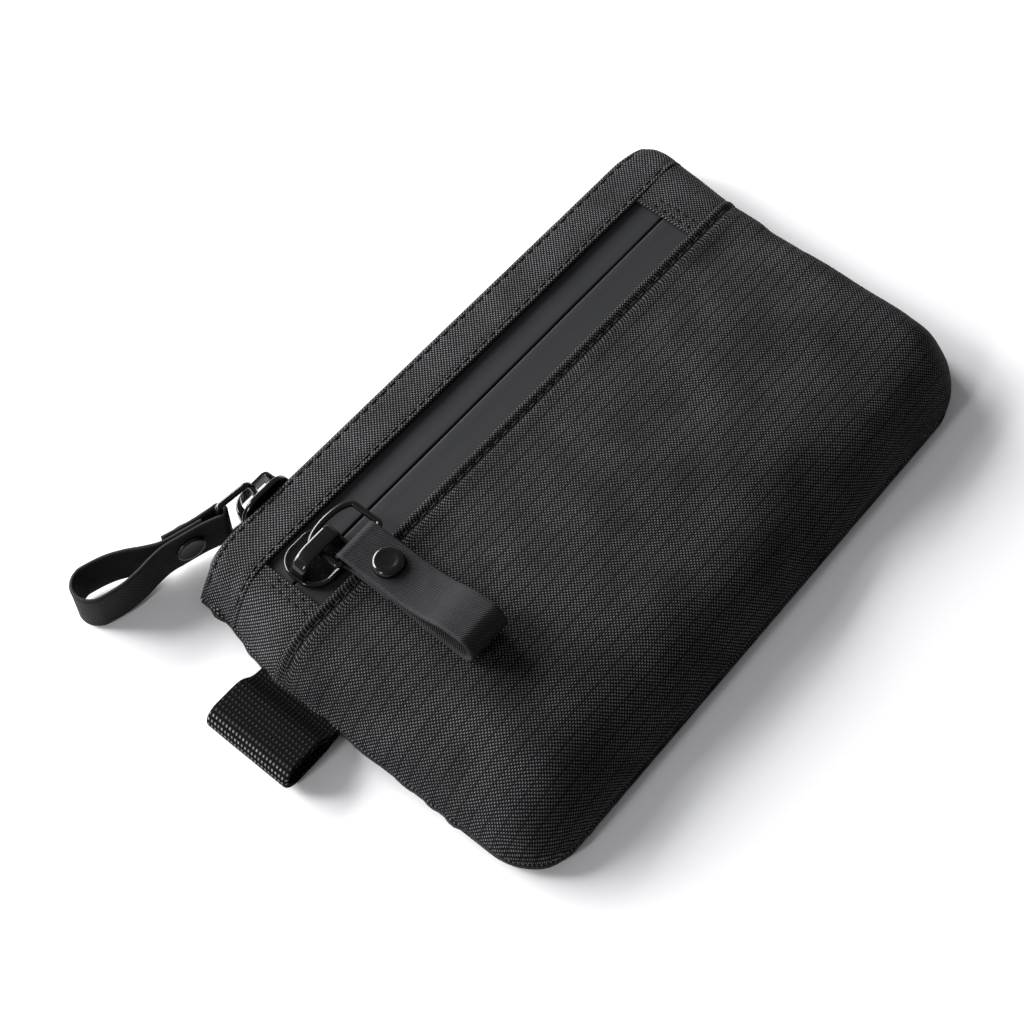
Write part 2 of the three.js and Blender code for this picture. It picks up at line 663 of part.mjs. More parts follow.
// Main zip: the same zip stood on the top edge, facing +Y, with its coils and stops inside.
function addMainZip() {
  const zip = new THREE.Group();
  zip.position.set(0, MAIN_TAPE_Y, MAIN_SLIT_Z);
  zip.rotation.x = -Math.PI / 2;
  pouch.add(zip);
  const underBand = (x) => frontLevel(x, TOP_EDGE) - FABRIC - 2 * GAP;
  const frontReach = (x) => Math.min(underBand(x), MAIN_TAPE_HIGH_Z) - MAIN_SLIT_Z;
  const backReach = () => MAIN_SLIT_Z - MAIN_TAPE_LOW_Z;
  const reach = [frontReach, backReach];
  const tape = { left: MAIN_TAPE_LEFT_X, right: MAIN_TAPE_RIGHT_X, reach };
  const coil = { left: MAIN_COIL_LEFT_X, right: MAIN_COIL_RIGHT_X };
  addZip(zip, 'main', ['front', 'back'], tape, coil);
  const turning = addSlider(zip, 'main', MAIN_SLIDER_X);
  // The ring lies back toward -X and leans out, its bar farthest from the slider.
  turning.rotation.set(0, THREE.MathUtils.degToRad(MAIN_RING_LEAN), 0);
  const ring = addPart(turning, 'main_d_ring', dRing(), glossBlack);
  ring.position.x = -RING_CROWN;
  ring.rotation.z = -Math.PI / 2;
  const strapHolder = new THREE.Group();
  strapHolder.position.x = -RING_CROWN - RING_BAR_OFFSET;
  turnAxes(strapHolder, [-1, 0, 0], [0, 0, 1]);
  turning.add(strapHolder);
  const lean = new THREE.Group();
  lean.rotation.z = THREE.MathUtils.degToRad(MAIN_STRAP_LEAN);
  strapHolder.add(lean);
  addStrap(lean, 'main', -MAIN_LOOP_HALF, MAIN_LOOP_HALF);
}

addFabric();
addFrontZip();
addMainZip();

export default pouch;
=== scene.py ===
import json
import math

import bpy
import numpy as np
from mathutils import Matrix, Vector


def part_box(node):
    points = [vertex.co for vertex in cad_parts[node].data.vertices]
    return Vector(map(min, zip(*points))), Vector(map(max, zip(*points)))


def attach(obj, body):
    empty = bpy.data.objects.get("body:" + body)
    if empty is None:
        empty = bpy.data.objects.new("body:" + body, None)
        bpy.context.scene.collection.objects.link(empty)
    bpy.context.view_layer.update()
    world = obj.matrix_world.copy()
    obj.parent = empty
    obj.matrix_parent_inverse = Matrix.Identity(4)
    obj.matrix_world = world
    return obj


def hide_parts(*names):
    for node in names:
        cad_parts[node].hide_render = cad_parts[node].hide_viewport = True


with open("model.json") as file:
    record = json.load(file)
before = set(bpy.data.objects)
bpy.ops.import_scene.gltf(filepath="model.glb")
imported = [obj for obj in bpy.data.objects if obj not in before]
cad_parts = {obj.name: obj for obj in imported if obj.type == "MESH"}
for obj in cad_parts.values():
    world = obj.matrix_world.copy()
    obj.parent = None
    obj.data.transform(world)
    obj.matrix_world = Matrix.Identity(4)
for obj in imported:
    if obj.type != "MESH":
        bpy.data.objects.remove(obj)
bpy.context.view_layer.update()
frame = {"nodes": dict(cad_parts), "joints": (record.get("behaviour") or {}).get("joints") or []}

# Camera: a long lens over the lower left corner of the pouch, level with the horizon.
CAMERA_AZIMUTH = math.radians(-50.29)
CAMERA_ELEVATION = math.radians(59.65)
CAMERA_DISTANCE = 0.3822
CAMERA_LENS = 67.9
SENSOR_WIDTH = 36
LOOK_AT = Vector((-0.0119, 0.0096, 0))

camera = bpy.data.objects.new("camera", bpy.data.cameras.new("camera"))
bpy.context.scene.collection.objects.link(camera)
bpy.context.scene.camera = camera
camera.data.lens = CAMERA_LENS
camera.data.sensor_width = SENSOR_WIDTH
toward_camera = Vector((
    math.sin(CAMERA_AZIMUTH) * math.cos(CAMERA_ELEVATION),
    -math.cos(CAMERA_AZIMUTH) * math.cos(CAMERA_ELEVATION),
    math.sin(CAMERA_ELEVATION),
))
camera.location = LOOK_AT + toward_camera * CAMERA_DISTANCE
camera.rotation_mode = "QUATERNION"
camera.rotation_quaternion = (-toward_camera).to_track_quat("-Z", "Y")
camera.data.clip_start = 0.01


# Studio: a white table top and a low soft light behind the zipped edge, so shadows fall forward.
# Two small lamps on the left give the lacquer its highlights, and the room is a plain pale grey.
FLOOR_HALF = 2.0
FLOOR_WHITE = (0.86, 0.86, 0.87, 1)
FLOOR_ROUGHNESS = 0.6
FLOOR_SPECULAR = 0.2
ROOM_GREY = (0.93, 0.94, 0.96, 1)
ROOM_STRENGTH = 0.23

floor_mesh = bpy.data.meshes.new("table_top")
corners = [(-1, -1), (1, -1), (1, 1), (-1, 1)]
floor_mesh.from_pydata([(x * FLOOR_HALF, y * FLOOR_HALF, 0) for x, y in corners], [], [(0, 1, 2, 3)])
floor = bpy.data.objects.new("table_top", floor_mesh)
bpy.context.scene.collection.objects.link(floor)
floor_material = bpy.data.materials.new("table_white")
floor_material.use_nodes = True
floor_shader = floor_material.node_tree.nodes["Principled BSDF"]
floor_shader.inputs["Base Color"].default_value = FLOOR_WHITE
floor_shader.inputs["Roughness"].default_value = FLOOR_ROUGHNESS
floor_shader.inputs["Specular IOR Level"].default_value = FLOOR_SPECULAR
floor_mesh.materials.append(floor_material)

room = bpy.data.worlds.new("room")
room.use_nodes = True
room.node_tree.nodes["Background"].inputs["Color"].default_value = ROOM_GREY
room.node_tree.nodes["Background"].inputs["Strength"].default_value = ROOM_STRENGTH
bpy.context.scene.world = room
bpy.context.scene.view_settings.view_transform = "Standard"


def soft_light(name, place, size, watts):
    light = bpy.data.lights.new(name, "AREA")
    light.shape = "RECTANGLE"
    light.size, light.size_y = size
    light.energy = watts
    lamp = bpy.data.objects.new(name, light)
    lamp.location = place
    lamp.rotation_mode = "QUATERNION"
    lamp.rotation_quaternion = (-Vector(place)).to_track_quat("-Z", "Y")
    bpy.context.scene.collection.objects.link(lamp)


soft_light("key_light", (-0.22, 1.2, 0.47), (1.5, 0.6), 62)
soft_light("top_light", (-0.4, 0.62, 0.5), (0.2, 0.16), 3.0)
soft_light("left_light", (-0.75, 0.08, 0.38), (0.1, 0.2), 2.2)


# Back panel: black nylon ripstop, cut to the pouch's outline with two rounded bottom corners.
# It lies flat on the table; its edges turn up to the seam, where it is sewn to the front.
MM = 0.001


def box_of(node):
    """The lowest and highest corner of a CAD node, in millimetres."""
    return [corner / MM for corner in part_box(node)]


pouch_low, pouch_high = box_of("back_panel")
LEFT_EDGE = pouch_low.x
RIGHT_EDGE = pouch_high.x
TOP_EDGE = pouch_high.y
BOTTOM_EDGE = pouch_low.y
BACK_THICKNESS = pouch_high.z
CORNER_LEFT = 11
CORNER_RIGHT = 15
YARN_PITCH = 0.4
RIP_PITCH = 2.8
# The yarn colours are painted highlights on the raised yarns; the gap colour is painted shade between them.
YARN_BLACK_PAINTED_HIGHLIGHT = (0.115, 0.115, 0.121, 1)
YARN_CHARCOAL_PAINTED_HIGHLIGHT = (0.155, 0.155, 0.163, 1)
WEAVE_GAP_PAINTED_SHADE = (0.0015, 0.0015, 0.0018, 1)
YARN_HEIGHT = 0.00012
RIM_RISE = 1.1
RIM_RUN = 1.8
EDGE_ROUND = 0.55
EDGE_TURN = 0.46
BUMP_TABLE = 128
PULL_LEFT = 3.4
PULL_DOWN = 1.7
PUSH_RIGHT = 1.2
PUSH_RIGHT_HIGH = 2.6
RIGHT_CORNER_IN = 1.4
RIGHT_CORNER_DOWN = 1.6


class Wire:
    """One socket of a finish; arithmetic on it adds Math nodes."""

    def __init__(self, finish, socket):
        self.finish = finish
        self.socket = socket

    def work(self, operation, *values):
        return self.finish.add("ShaderNodeMath", {"operation": operation}, dict(enumerate(values)))

    def __add__(self, other):
        return self.work("ADD", self, other)

    def __sub__(self, other):
        return self.work("SUBTRACT", self, other)

    def __rsub__(self, other):
        return self.work("SUBTRACT", other, self)

    def __mul__(self, other):
        return self.work("MULTIPLY", self, other)

    def __abs__(self):
        return self.work("ABSOLUTE", self)

    __radd__ = __add__
    __rmul__ = __mul__

    def cosine(self):
        return self.work("COSINE", self)

    def between(self, low, high):
        """0 below low, 1 above high and smooth in between."""
        settings = {"interpolation_type": "SMOOTHSTEP"}
        return self.finish.add("ShaderNodeMapRange", settings, {0: self, 1: low, 2: high})


class Finish:
    """A material made of nodes, with its fixed values on the shader itself."""

    def __init__(self, name, **fixed):
        self.material = bpy.data.materials.new(name)
        self.material.use_nodes = True
        self.tree = self.material.node_tree
        self.shader = self.tree.nodes["Principled BSDF"]
        for socket, value in fixed.items():
            self.shader.inputs[socket.replace("_", " ")].default_value = value

    def add(self, kind, settings, values, out=0):
        node = self.tree.nodes.new(kind)
        for name, value in settings.items():
            setattr(node, name, value)
        for key, value in values.items():
            if isinstance(value, Wire):
                self.tree.links.new(value.socket, node.inputs[key])
            else:
                node.inputs[key].default_value = value
        return Wire(self, node.outputs[out])

    def attribute(self, name):
        return self.add("ShaderNodeAttribute", {"attribute_name": name}, {}, "Vector")

    def parts(self, vector):
        first = self.add("ShaderNodeSeparateXYZ", {}, {0: vector})
        return [Wire(self, output) for output in first.socket.node.outputs]

    def speckle(self, vector, scale, detail=2.0):
        return self.add("ShaderNodeTexNoise", {}, {"Vector": vector, "Scale": scale, "Detail": detail})

    def mix(self, amount, first, second):
        return self.add("ShaderNodeMix", {"data_type": "RGBA"}, {0: amount, 6: first, 7: second}, 2)

    def set(self, socket, wire):
        self.tree.links.new(wire.socket, self.shader.inputs[socket])

    def bump(self, height, strength, distance):
        values = {"Height": height, "Strength": strength, "Distance": distance}
        self.set("Normal", self.add("ShaderNodeBump", {}, values))


def woven_finish(name, ripstop, yarn_painted_highlight):
    """Plain weave: yarns one way lie higher and get a painted highlight; those across them and the gaps
    between get painted shade.
    """
    finish = Finish(name, Specular_IOR_Level=0.07)
    cloth = finish.attribute("cloth")
    across, along, _ = finish.parts(cloth)
    turns = math.pi / YARN_PITCH
    wave_across = (across * turns).cosine()
    wave_along = (along * turns).cosine()
    crossing = wave_across * wave_along
    yarn_width = abs(wave_across).between(0.08, 0.45) * abs(wave_along).between(0.45, 0.85)
    # Painted light: a painted highlight on the raised yarn crowns and painted shade on the crossing yarns and
    # in the gaps; grain and blotch add random tone.
    raised_yarn_and_painted_highlight = crossing.between(0, 0.1) * yarn_width
    crossing_yarn_and_painted_shade = (0 - crossing).between(0.25, 0.8)
    grain = finish.speckle(cloth, 1.7, 1.0).between(0.25, 0.75)
    blotch = finish.speckle(cloth, 0.09, 3.0).between(0.3, 0.7)
    level = (raised_yarn_and_painted_highlight * (grain * 0.6 + 0.6) + crossing_yarn_and_painted_shade * 0.03) * (blotch * 0.35 + 0.72)
    if ripstop:
        from_line = along.work("PINGPONG", along, RIP_PITCH / 2)
        level = level * (from_line.between(0.04, 0.16) * 0.6 + 0.4)
    finish.set("Base Color", finish.mix(level, WEAVE_GAP_PAINTED_SHADE, yarn_painted_highlight))
    finish.set("Roughness", 0.8 - raised_yarn_and_painted_highlight * 0.2)
    finish.bump(raised_yarn_and_painted_highlight + crossing_yarn_and_painted_shade * 0.6, 0.5, YARN_HEIGHT)
    return finish


def left_edge(y):
    up = np.clip(CORNER_LEFT - (y - BOTTOM_EDGE), 0, CORNER_LEFT)
    return LEFT_EDGE + CORNER_LEFT - np.sqrt(CORNER_LEFT ** 2 - up ** 2)


def right_edge(y):
    up = np.clip(CORNER_RIGHT - (y - BOTTOM_EDGE), 0, CORNER_RIGHT)
    return RIGHT_EDGE - CORNER_RIGHT + np.sqrt(CORNER_RIGHT ** 2 - up ** 2)


def smooth(t):
    t = np.clip(t, 0, 1)
    return t * t * (3 - 2 * t)


def crumple(x, y, size, seed):
    """Smooth bumps about that size across, from -1 to 1."""
    table = np.random.default_rng(seed).uniform(-1, 1, (BUMP_TABLE, BUMP_TABLE))
    u, v = np.asarray(x) / size + BUMP_TABLE / 2, np.asarray(y) / size + BUMP_TABLE / 2
    i, j = np.floor(u).astype(int), np.floor(v).astype(int)
    s, t = smooth(u - i), smooth(v - j)

    def corner(a, b):
        return table[(i + a) % BUMP_TABLE, (j + b) % BUMP_TABLE]

    low = corner(0, 0) * (1 - s) + corner(1, 0) * s
    high = corner(0, 1) * (1 - s) + corner(1, 1) * s
    return low * (1 - t) + high * t


def pulled_in(x, y):
    """The seams draw in the top left corner; the right side and its top corner are pushed out."""
    left = smooth((-54 - x) / 15) * smooth((y - 18) / 22)
    right = smooth((x - 64) / 8)
    high = smooth((y - 4) / 34)
    corner = right * smooth((y - 39) / 5)
    pushed = right * (PUSH_RIGHT + PUSH_RIGHT_HIGH * high)
    new_x = x + PULL_LEFT * left + pushed - RIGHT_CORNER_IN * corner
    return new_x, y - PULL_DOWN * left - RIGHT_CORNER_DOWN * corner


def steps(low, high, count):
    """Positions from low to high, closer together at both ends."""
    near = np.array([0, 0.07, 0.2, 0.4, 0.7, 1.05])
    return np.concatenate([low + near, np.linspace(low + 1.5, high - 1.5, count), high - near[::-1]])


def quads(rows, columns, first, turned):
    i, j = np.meshgrid(np.arange(rows - 1), np.arange(columns - 1), indexing="ij")
    a = (first + i * columns + j).ravel()
    faces = np.stack([a, a + columns, a + columns + 1, a + 1], axis=1)
    return (faces[:, ::-1] if turned else faces).tolist()


def shell_faces(rows, columns, turned):
    """Faces of a closed sheet from two grids of points: the upper one, the lower one and the edge."""
    count = rows * columns
    ring = list(range(columns))
    ring += [i * columns + columns - 1 for i in range(1, rows)]
    ring += [(rows - 1) * columns + j for j in range(columns - 2, -1, -1)]
    ring += [i * columns for i in range(rows - 2, 0, -1)]
    walls = [(a, b, b + count, a + count) for a, b in zip(ring, ring[1:] + ring[:1])]
    if turned:
        walls = [face[::-1] for face in walls]
    return quads(rows, columns, 0, turned) + quads(rows, columns, count, not turned) + walls


def loft_faces(loops, around, turned=False, closed=False):
    """Faces that join loops of points in order, with a face over each end unless it is closed."""
    faces = []
    for i in range(loops if closed else loops - 1):
        here, there = i * around, (i + 1) % loops * around
        for j in range(around):
            k = (j + 1) % around
            faces.append((here + j, here + k, there + k, there + j))
    if not closed:
        faces.append(tuple(range(around - 1, -1, -1)))
        faces.append(tuple(range((loops - 1) * around, loops * around)))
    return [face[:1] + face[:0:-1] for face in faces] if turned else faces


def run_along(path):
    """The distance run along a path at each of its points."""
    return np.concatenate([[0], np.cumsum(np.linalg.norm(np.diff(path, axis=0), axis=1))])


def add_piece(name, points, faces, finish, body, replaced=(), cloth=None):
    """A mesh in millimetres becomes a piece that rides on a body and stands for CAD nodes."""
    mesh = bpy.data.meshes.new(name)
    mesh.from_pydata((np.asarray(points, float) * MM).tolist(), [], faces)
    mesh.validate()
    mesh.materials.append(finish.material)
    mesh.polygons.foreach_set("use_smooth", [True] * len(mesh.polygons))
    if cloth is not None:
        flat = np.zeros((len(points), 3), np.float32)
        flat[:, : cloth.shape[1]] = cloth
        mesh.attributes.new("cloth", "FLOAT_VECTOR", "POINT").data.foreach_set("vector", flat.ravel())
    piece = bpy.data.objects.new(name, mesh)
    bpy.context.scene.collection.objects.link(piece)
    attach(piece, body)
    if replaced:
        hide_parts(*replaced)
    return piece


def add_sheet(name, xs, ys, left, right, top, thickness, finish, node):
    """A sheet of cloth with rounded edges: top(x, y) is its upper face."""
    y = ys[:, None] + 0 * xs[None, :]
    share = (xs - xs[0]) / (xs[-1] - xs[0])
    x = left(y) + (right(y) - left(y)) * share[None, :]
    inward = np.minimum.reduce([x - left(y), right(y) - x, y - ys[0], ys[-1] - y])
    near = np.clip(1 - inward / (EDGE_ROUND * thickness), 0, 1)
    turn = thickness * EDGE_TURN * (1 - np.sqrt(1 - near ** 2))
    z = top(x, y)
    plan = pulled_in(x, y)
    upper = np.stack([*plan, z - turn], axis=-1)
    lower = np.stack([*plan, z - thickness + turn], axis=-1)
    step_x = np.linalg.norm(np.diff(upper, axis=1), axis=2)
    step_y = np.linalg.norm(np.diff(upper, axis=0), axis=2)
    run_x = np.concatenate([np.zeros((len(ys), 1)), np.cumsum(step_x, axis=1)], axis=1)
    run_x -= run_x[:, [len(xs) // 2]]
    run_y = np.concatenate([np.zeros((1, len(xs))), np.cumsum(step_y, axis=0)], axis=0)
    run_y -= run_y[-1:, :]
    cloth = np.stack([run_x, run_y], axis=-1).reshape(-1, 2)
    points = np.concatenate([upper.reshape(-1, 3), lower.reshape(-1, 3)])
    faces = shell_faces(*x.shape, turned=True)
    return add_piece(name, points, faces, finish, "pouch", [node], np.concatenate([cloth, cloth]))


def back_top(x, y):
    from_seam = np.minimum(np.minimum(x - left_edge(y), right_edge(y) - x), y - BOTTOM_EDGE)
    turned_up = RIM_RISE * np.exp(-(from_seam / RIM_RUN) ** 2)
    pucker = 0.3 * crumple(x, y, 4.5, 11) * np.exp(-from_seam / 5)
    soft = 0.12 * crumple(x, y, 14, 12) * smooth(from_seam / 8)
    return BACK_THICKNESS + turned_up + np.maximum(pucker + soft, -0.02)


ripstop = woven_finish("black_ripstop", ripstop=True, yarn_painted_highlight=YARN_BLACK_PAINTED_HIGHLIGHT)
plain_weave = woven_finish("black_plain_weave", ripstop=False, yarn_painted_highlight=YARN_CHARCOAL_PAINTED_HIGHLIGHT)
back = add_sheet(
    "back_cloth", steps(LEFT_EDGE, RIGHT_EDGE, 150), steps(BOTTOM_EDGE, TOP_EDGE, 96),
    left_edge, right_edge, back_top, BACK_THICKNESS, ripstop, "back_panel",
)


# Linings: thin grey nylon taffeta. One backs the back panel and one divides the two pockets.
# Both are caught in the side and bottom seams and hang a little slack between them.
LINING = 0.5
TAFFETA_PITCH = 0.22
TAFFETA_DARK = (0.012, 0.012, 0.013, 1)
TAFFETA_GREY = (0.06, 0.061, 0.064, 1)

lining_finish = Finish("grey_taffeta", Roughness=0.6, Sheen_Weight=0.2)
lining_cloth = lining_finish.attribute("cloth")
lining_across, lining_along, _ = lining_finish.parts(lining_cloth)
lining_turns = math.pi / TAFFETA_PITCH
lining_crossing = (lining_across * lining_turns).cosine() * (lining_along * lining_turns).cosine()
lining_level = lining_crossing.between(-0.4, 0.9) * 0.5 + 0.35
lining_finish.set("Base Color", lining_finish.mix(lining_level, TAFFETA_DARK, TAFFETA_GREY))
lining_finish.bump(abs(lining_crossing), 0.4, 0.00006)


def add_lining(name, node, seed):
    low, high = box_of(node)
    rest = high.z - 0.05

    def left(y):
        return low.x + (left_edge(y) - LEFT_EDGE)

    def right(y):
        return high.x - (RIGHT_EDGE - right_edge(y))

    def top(x, y):
        return rest + 0.12 * crumple(x, y, 11, seed)

    xs, ys = steps(low.x, high.x, 60), steps(low.y, high.y, 36)
    lining = add_sheet(name, xs, ys, left, right, top, LINING, lining_finish, node)


add_lining("back_lining_cloth", "back_lining", 21)
add_lining("pocket_divider_cloth", "pocket_divider_lining", 22)


# Front panel: the same ripstop, eased over the contents, so it puffs up between its seams.
# Its upper edge is folded under and topstitched beside the zip; the sewing gathers it a little.
SEAM_TOP = 4.4
WINDOW_LEVEL = 12.4
BELLY_LEVEL = 14.5
BELLY_START = 14
BELLY_RUN = 28
BOTTOM_FALL = 15
LEFT_FALL = 9
LEFT_FALL_MORE = 5
RIGHT_FALL = 4.5
RIGHT_FALL_MORE = 2.5
RAMP_END = 1.47
FABRIC = 0.9
PANEL_TOP = box_of("front_panel")[1].y
BAND_LOW = box_of("front_top_band")[0].y
TOP_FOLD_LEVEL = 11.3
STITCH_IN = 1.9
STITCH_SPACING = 2.7
SIDE_PUCKER = 0.75
BOTTOM_PUCKER = 0.7
CREASE = 0.55
FINE_CREASE = 0.2
CREASE_SINK = 0.3


def ramp(t):
    """Steep at a seam and level further in."""
    return 1 - (1 - np.clip(t / RAMP_END, 0, 1)) ** 3


def side_distance(x, y):
    return np.where(x < 0, x - left_edge(y), right_edge(y) - x)


def front_level(x, y):
    band = WINDOW_LEVEL + (TOP_FOLD_LEVEL - WINDOW_LEVEL) * (y - BAND_LOW) / (TOP_EDGE - BAND_LOW)
    belly = WINDOW_LEVEL + (BELLY_LEVEL - WINDOW_LEVEL) * smooth((BELLY_START - y) / BELLY_RUN)
    crown = np.where(y > BAND_LOW, band, belly)
    low = smooth((15 - y) / 30)
    fall = np.where(x < 0, LEFT_FALL + LEFT_FALL_MORE * low, RIGHT_FALL + RIGHT_FALL_MORE * low)
    uneven = 1 + 0.22 * crumple(x, y, 21, 51)
    rise = ramp(side_distance(x, y) / (fall * uneven)) * ramp((y - BOTTOM_EDGE) / (BOTTOM_FALL * uneven))
    return SEAM_TOP + (crown - SEAM_TOP) * rise


def gathered(x, y):
    """Puckers that run in from the side and bottom seams, and soft creases in the middle."""
    side = side_distance(x, y)
    bottom = y - BOTTOM_EDGE
    at_side = crumple(side / 2.6, y, 3.6, 1) * np.exp(-side / 5) * smooth(side / 1.5)
    at_bottom = crumple(x, bottom / 2.6, 4.6, 2) * np.exp(-bottom / 6) * smooth(bottom / 1.5)
    inside = smooth(np.minimum(side, bottom) / 14)
    creases = CREASE * crumple(x + 0.6 * y, y - 0.5 * x, 17, 3) + FINE_CREASE * crumple(x, y, 7.5, 4)
    return SIDE_PUCKER * at_side + BOTTOM_PUCKER * at_bottom + (creases - CREASE_SINK) * inside


def groove(distance, depth=0.3, width=0.45):
    return depth * np.exp(-(distance / width) ** 2)


def panel_top(x, y):
    down = PANEL_TOP - y
    eased = smooth((down - 2.5) / 6)
    fold = 0.22 * smooth((1.6 - down) / 0.7)
    dimples = 0.16 * np.cos(x * 2 * math.pi / STITCH_SPACING) * np.exp(-((down - 2.2) / 1.2) ** 2)
    sewn = groove(down - STITCH_IN, 0.38, 0.5) + dimples
    return front_level(x, y) + gathered(x, y) * eased + fold - sewn


front = add_sheet(
    "front_cloth", steps(LEFT_EDGE, RIGHT_EDGE, 230), steps(BOTTOM_EDGE + 0.3, PANEL_TOP, 120),
    left_edge, right_edge, panel_top, FABRIC, ripstop, "front_panel",
)

THREAD_RADIUS = 0.19
THREAD_TWIST = 0.3
STITCH_RISE = 0.16
STITCH_DIP = 0.34
THREAD_DARK = (0.003, 0.003, 0.0035, 1)
THREAD_LIGHT = (0.016, 0.016, 0.017, 1)

thread_finish = Finish("black_thread", Roughness=0.65, Specular_IOR_Level=0.2)
thread_twist, thread_along, _ = thread_finish.parts(thread_finish.attribute("cloth"))
thread_wave = ((thread_twist + thread_along * 3) * (2 * math.pi / THREAD_TWIST)).cosine()
thread_level = thread_wave.between(-1, 1)
thread_finish.set("Base Color", thread_finish.mix(thread_level, THREAD_DARK, THREAD_LIGHT))
thread_finish.bump(thread_wave, 0.5, 0.00005)


def tube(path, radius, sides, closed=False):
    """Points and faces of a tube along a path; radius is a number or one per point."""
    path = np.asarray(path, float)
    count = len(path)
    after = np.roll(path, -1, axis=0)
    before = np.roll(path, 1, axis=0)
    if not closed:
        after[-1], before[0] = path[-1], path[0]
    ahead = after - before
    ahead /= np.linalg.norm(ahead, axis=1, keepdims=True)
    side = np.cross(ahead[0], (0.13, 0.21, 0.97))
    turned_along = []
    for direction in ahead:
        side = side - direction * (side @ direction)
        side = side / np.linalg.norm(side)
        turned_along.append(side)
    side = np.array(turned_along)
    up = np.cross(ahead, side)
    angle = np.linspace(0, 2 * math.pi, sides, endpoint=False)
    radius = np.broadcast_to(np.asarray(radius, float), (count,))[:, None, None]
    cosine, sine = np.cos(angle)[None, :, None], np.sin(angle)[None, :, None]
    around = side[:, None, :] * cosine + up[:, None, :] * sine
    points = (path[:, None, :] + radius * around).reshape(-1, 3)
    faces = loft_faces(count, sides, closed=closed)
    girth = np.tile(angle * float(radius.mean()), count)
    cloth = np.stack([np.repeat(run_along(path), sides), girth], axis=1)
    return points, faces, cloth


def join(meshes):
    points, faces, cloths, first = [], [], [], 0
    for some_points, some_faces, some_cloth in meshes:
        points.append(some_points)
        cloths.append(some_cloth)
        faces += [tuple(first + k for k in face) for face in some_faces]
        first += len(some_points)
    return np.concatenate(points), faces, np.concatenate(cloths)


def add_stitches(name, rows, top, length=2.2, gap=0.5):
    """Lockstitch along straight rows on a sheet: each stitch dips into the cloth at both ends."""
    stitches = []
    for (x1, y1), (x2, y2) in rows:
        run = math.hypot(x2 - x1, y2 - y1)
        count = int(run / (length + gap))
        for k in range(count):
            t = (np.linspace(0, length, 6) + k * (length + gap)) / run
            x, y = x1 + (x2 - x1) * t, y1 + (y2 - y1) * t
            arch = STITCH_RISE - STITCH_DIP * np.abs(np.linspace(-1, 1, 6)) ** 3
            z = top(x, y) + arch
            stitches.append(tube(np.stack([*pulled_in(x, y), z], axis=1), THREAD_RADIUS, 6))
    points, faces, cloth = join(stitches)
    add_piece(name, points, faces, thread_finish, "pouch", (), cloth)




def row_across(y):
    """A row of stitches from side seam to side seam."""
    return (LEFT_EDGE + 2, y), (RIGHT_EDGE - 2, y)


add_stitches("front_panel_stitches", [row_across(PANEL_TOP - STITCH_IN)], panel_top)


# Top band and window end patches: strips of the plain weave that frame the zip window.
# Every free edge is folded under and sewn down 1.2 mm in; the patches have a second row.
STITCH_EDGE = 1.2


def band_top(x, y):
    side = side_distance(x, y)
    pucker = 0.35 * crumple(x, y, 3.4, 5) * np.exp(-side / 5) * smooth(side / 1.5)
    waves = 0.1 * crumple(x, y, 6, 6)
    rows = groove(y - BAND_LOW - STITCH_EDGE, 0.2) + groove(TOP_EDGE - y - STITCH_EDGE, 0.2)
    turned_down = 0.9 * smooth((y - TOP_EDGE + 0.9) / 0.9) ** 2
    return front_level(x, y) + pucker + waves - rows - turned_down


band = add_sheet(
    "top_band_cloth", steps(LEFT_EDGE, RIGHT_EDGE, 210), steps(BAND_LOW, TOP_EDGE, 16),
    left_edge, right_edge, band_top, FABRIC, plain_weave, "front_top_band",
)
add_stitches("top_band_stitches", [row_across(BAND_LOW + STITCH_EDGE), row_across(TOP_EDGE - STITCH_EDGE)],
             band_top)


def add_patch(name, node, toward_seam):
    low, high = box_of(node)
    window_x = low.x if toward_seam > 0 else high.x
    row_x = window_x + toward_seam * STITCH_EDGE
    second_x = window_x + toward_seam * 2.6 * STITCH_EDGE

    def top(x, y):
        level = front_level(x, y) - 0.25
        waves = 0.14 * crumple(x, y, 4.5, 7) * smooth(abs(x - window_x) / 5)
        return level + waves - groove(x - row_x, 0.2) - groove(x - second_x, 0.15)

    patch = add_sheet(
        name, steps(low.x, high.x, 22), steps(low.y - 0.6, high.y + 0.5, 22),
        lambda y: low.x + 0 * y, lambda y: high.x + 0 * y, top, FABRIC, plain_weave, node,
    )
    edge = 0.8
    add_stitches(name.replace("cloth", "stitches"), [
        ((row_x, low.y + edge), (row_x, high.y - edge)),
        ((second_x, low.y + edge), (second_x, high.y - edge)),
    ], top, 1.7, 0.4)


add_patch("window_patch_left_cloth", "window_end_patch_left", -1)
add_patch("window_patch_right_cloth", "window_end_patch_right", 1)


# Seam roll: the seam allowance of front and back, turned inside and pressed into a narrow roll.
# It runs down both sides and along the bottom, wavy where the sewing pulls, thickest at its two ends.
ROLL_MARGIN = 0.85
ROLL_RADIUS = 1.12
ROLL_HEIGHT = 2.75
LEFT_NUB = 0.75
RIGHT_NUB = 1.1


def seam_line():
    """Plan outline from the top left, down, along the bottom and up the right side."""
    left_x, right_x, low_y = LEFT_EDGE + ROLL_MARGIN, RIGHT_EDGE - ROLL_MARGIN, BOTTOM_EDGE + ROLL_MARGIN
    r_left, r_right = CORNER_LEFT - ROLL_MARGIN, CORNER_RIGHT - ROLL_MARGIN
    top_y = TOP_EDGE - 0.6
    turn = np.linspace(0, math.pi / 2, 24)
    down = [(left_x, y) for y in np.linspace(top_y, low_y + r_left, 90)]
    first = [(left_x + r_left * (1 - math.cos(a)), low_y + r_left * (1 - math.sin(a))) for a in turn[1:]]
    across = [(x, low_y) for x in np.linspace(left_x + r_left, right_x - r_right, 150)[1:]]
    second = [(right_x - r_right * (1 - math.sin(a)), low_y + r_right * (1 - math.cos(a))) for a in turn[1:]]
    up = [(right_x, y) for y in np.linspace(low_y + r_right, top_y, 84)[1:]]
    return np.array(down + first + across + second + up)


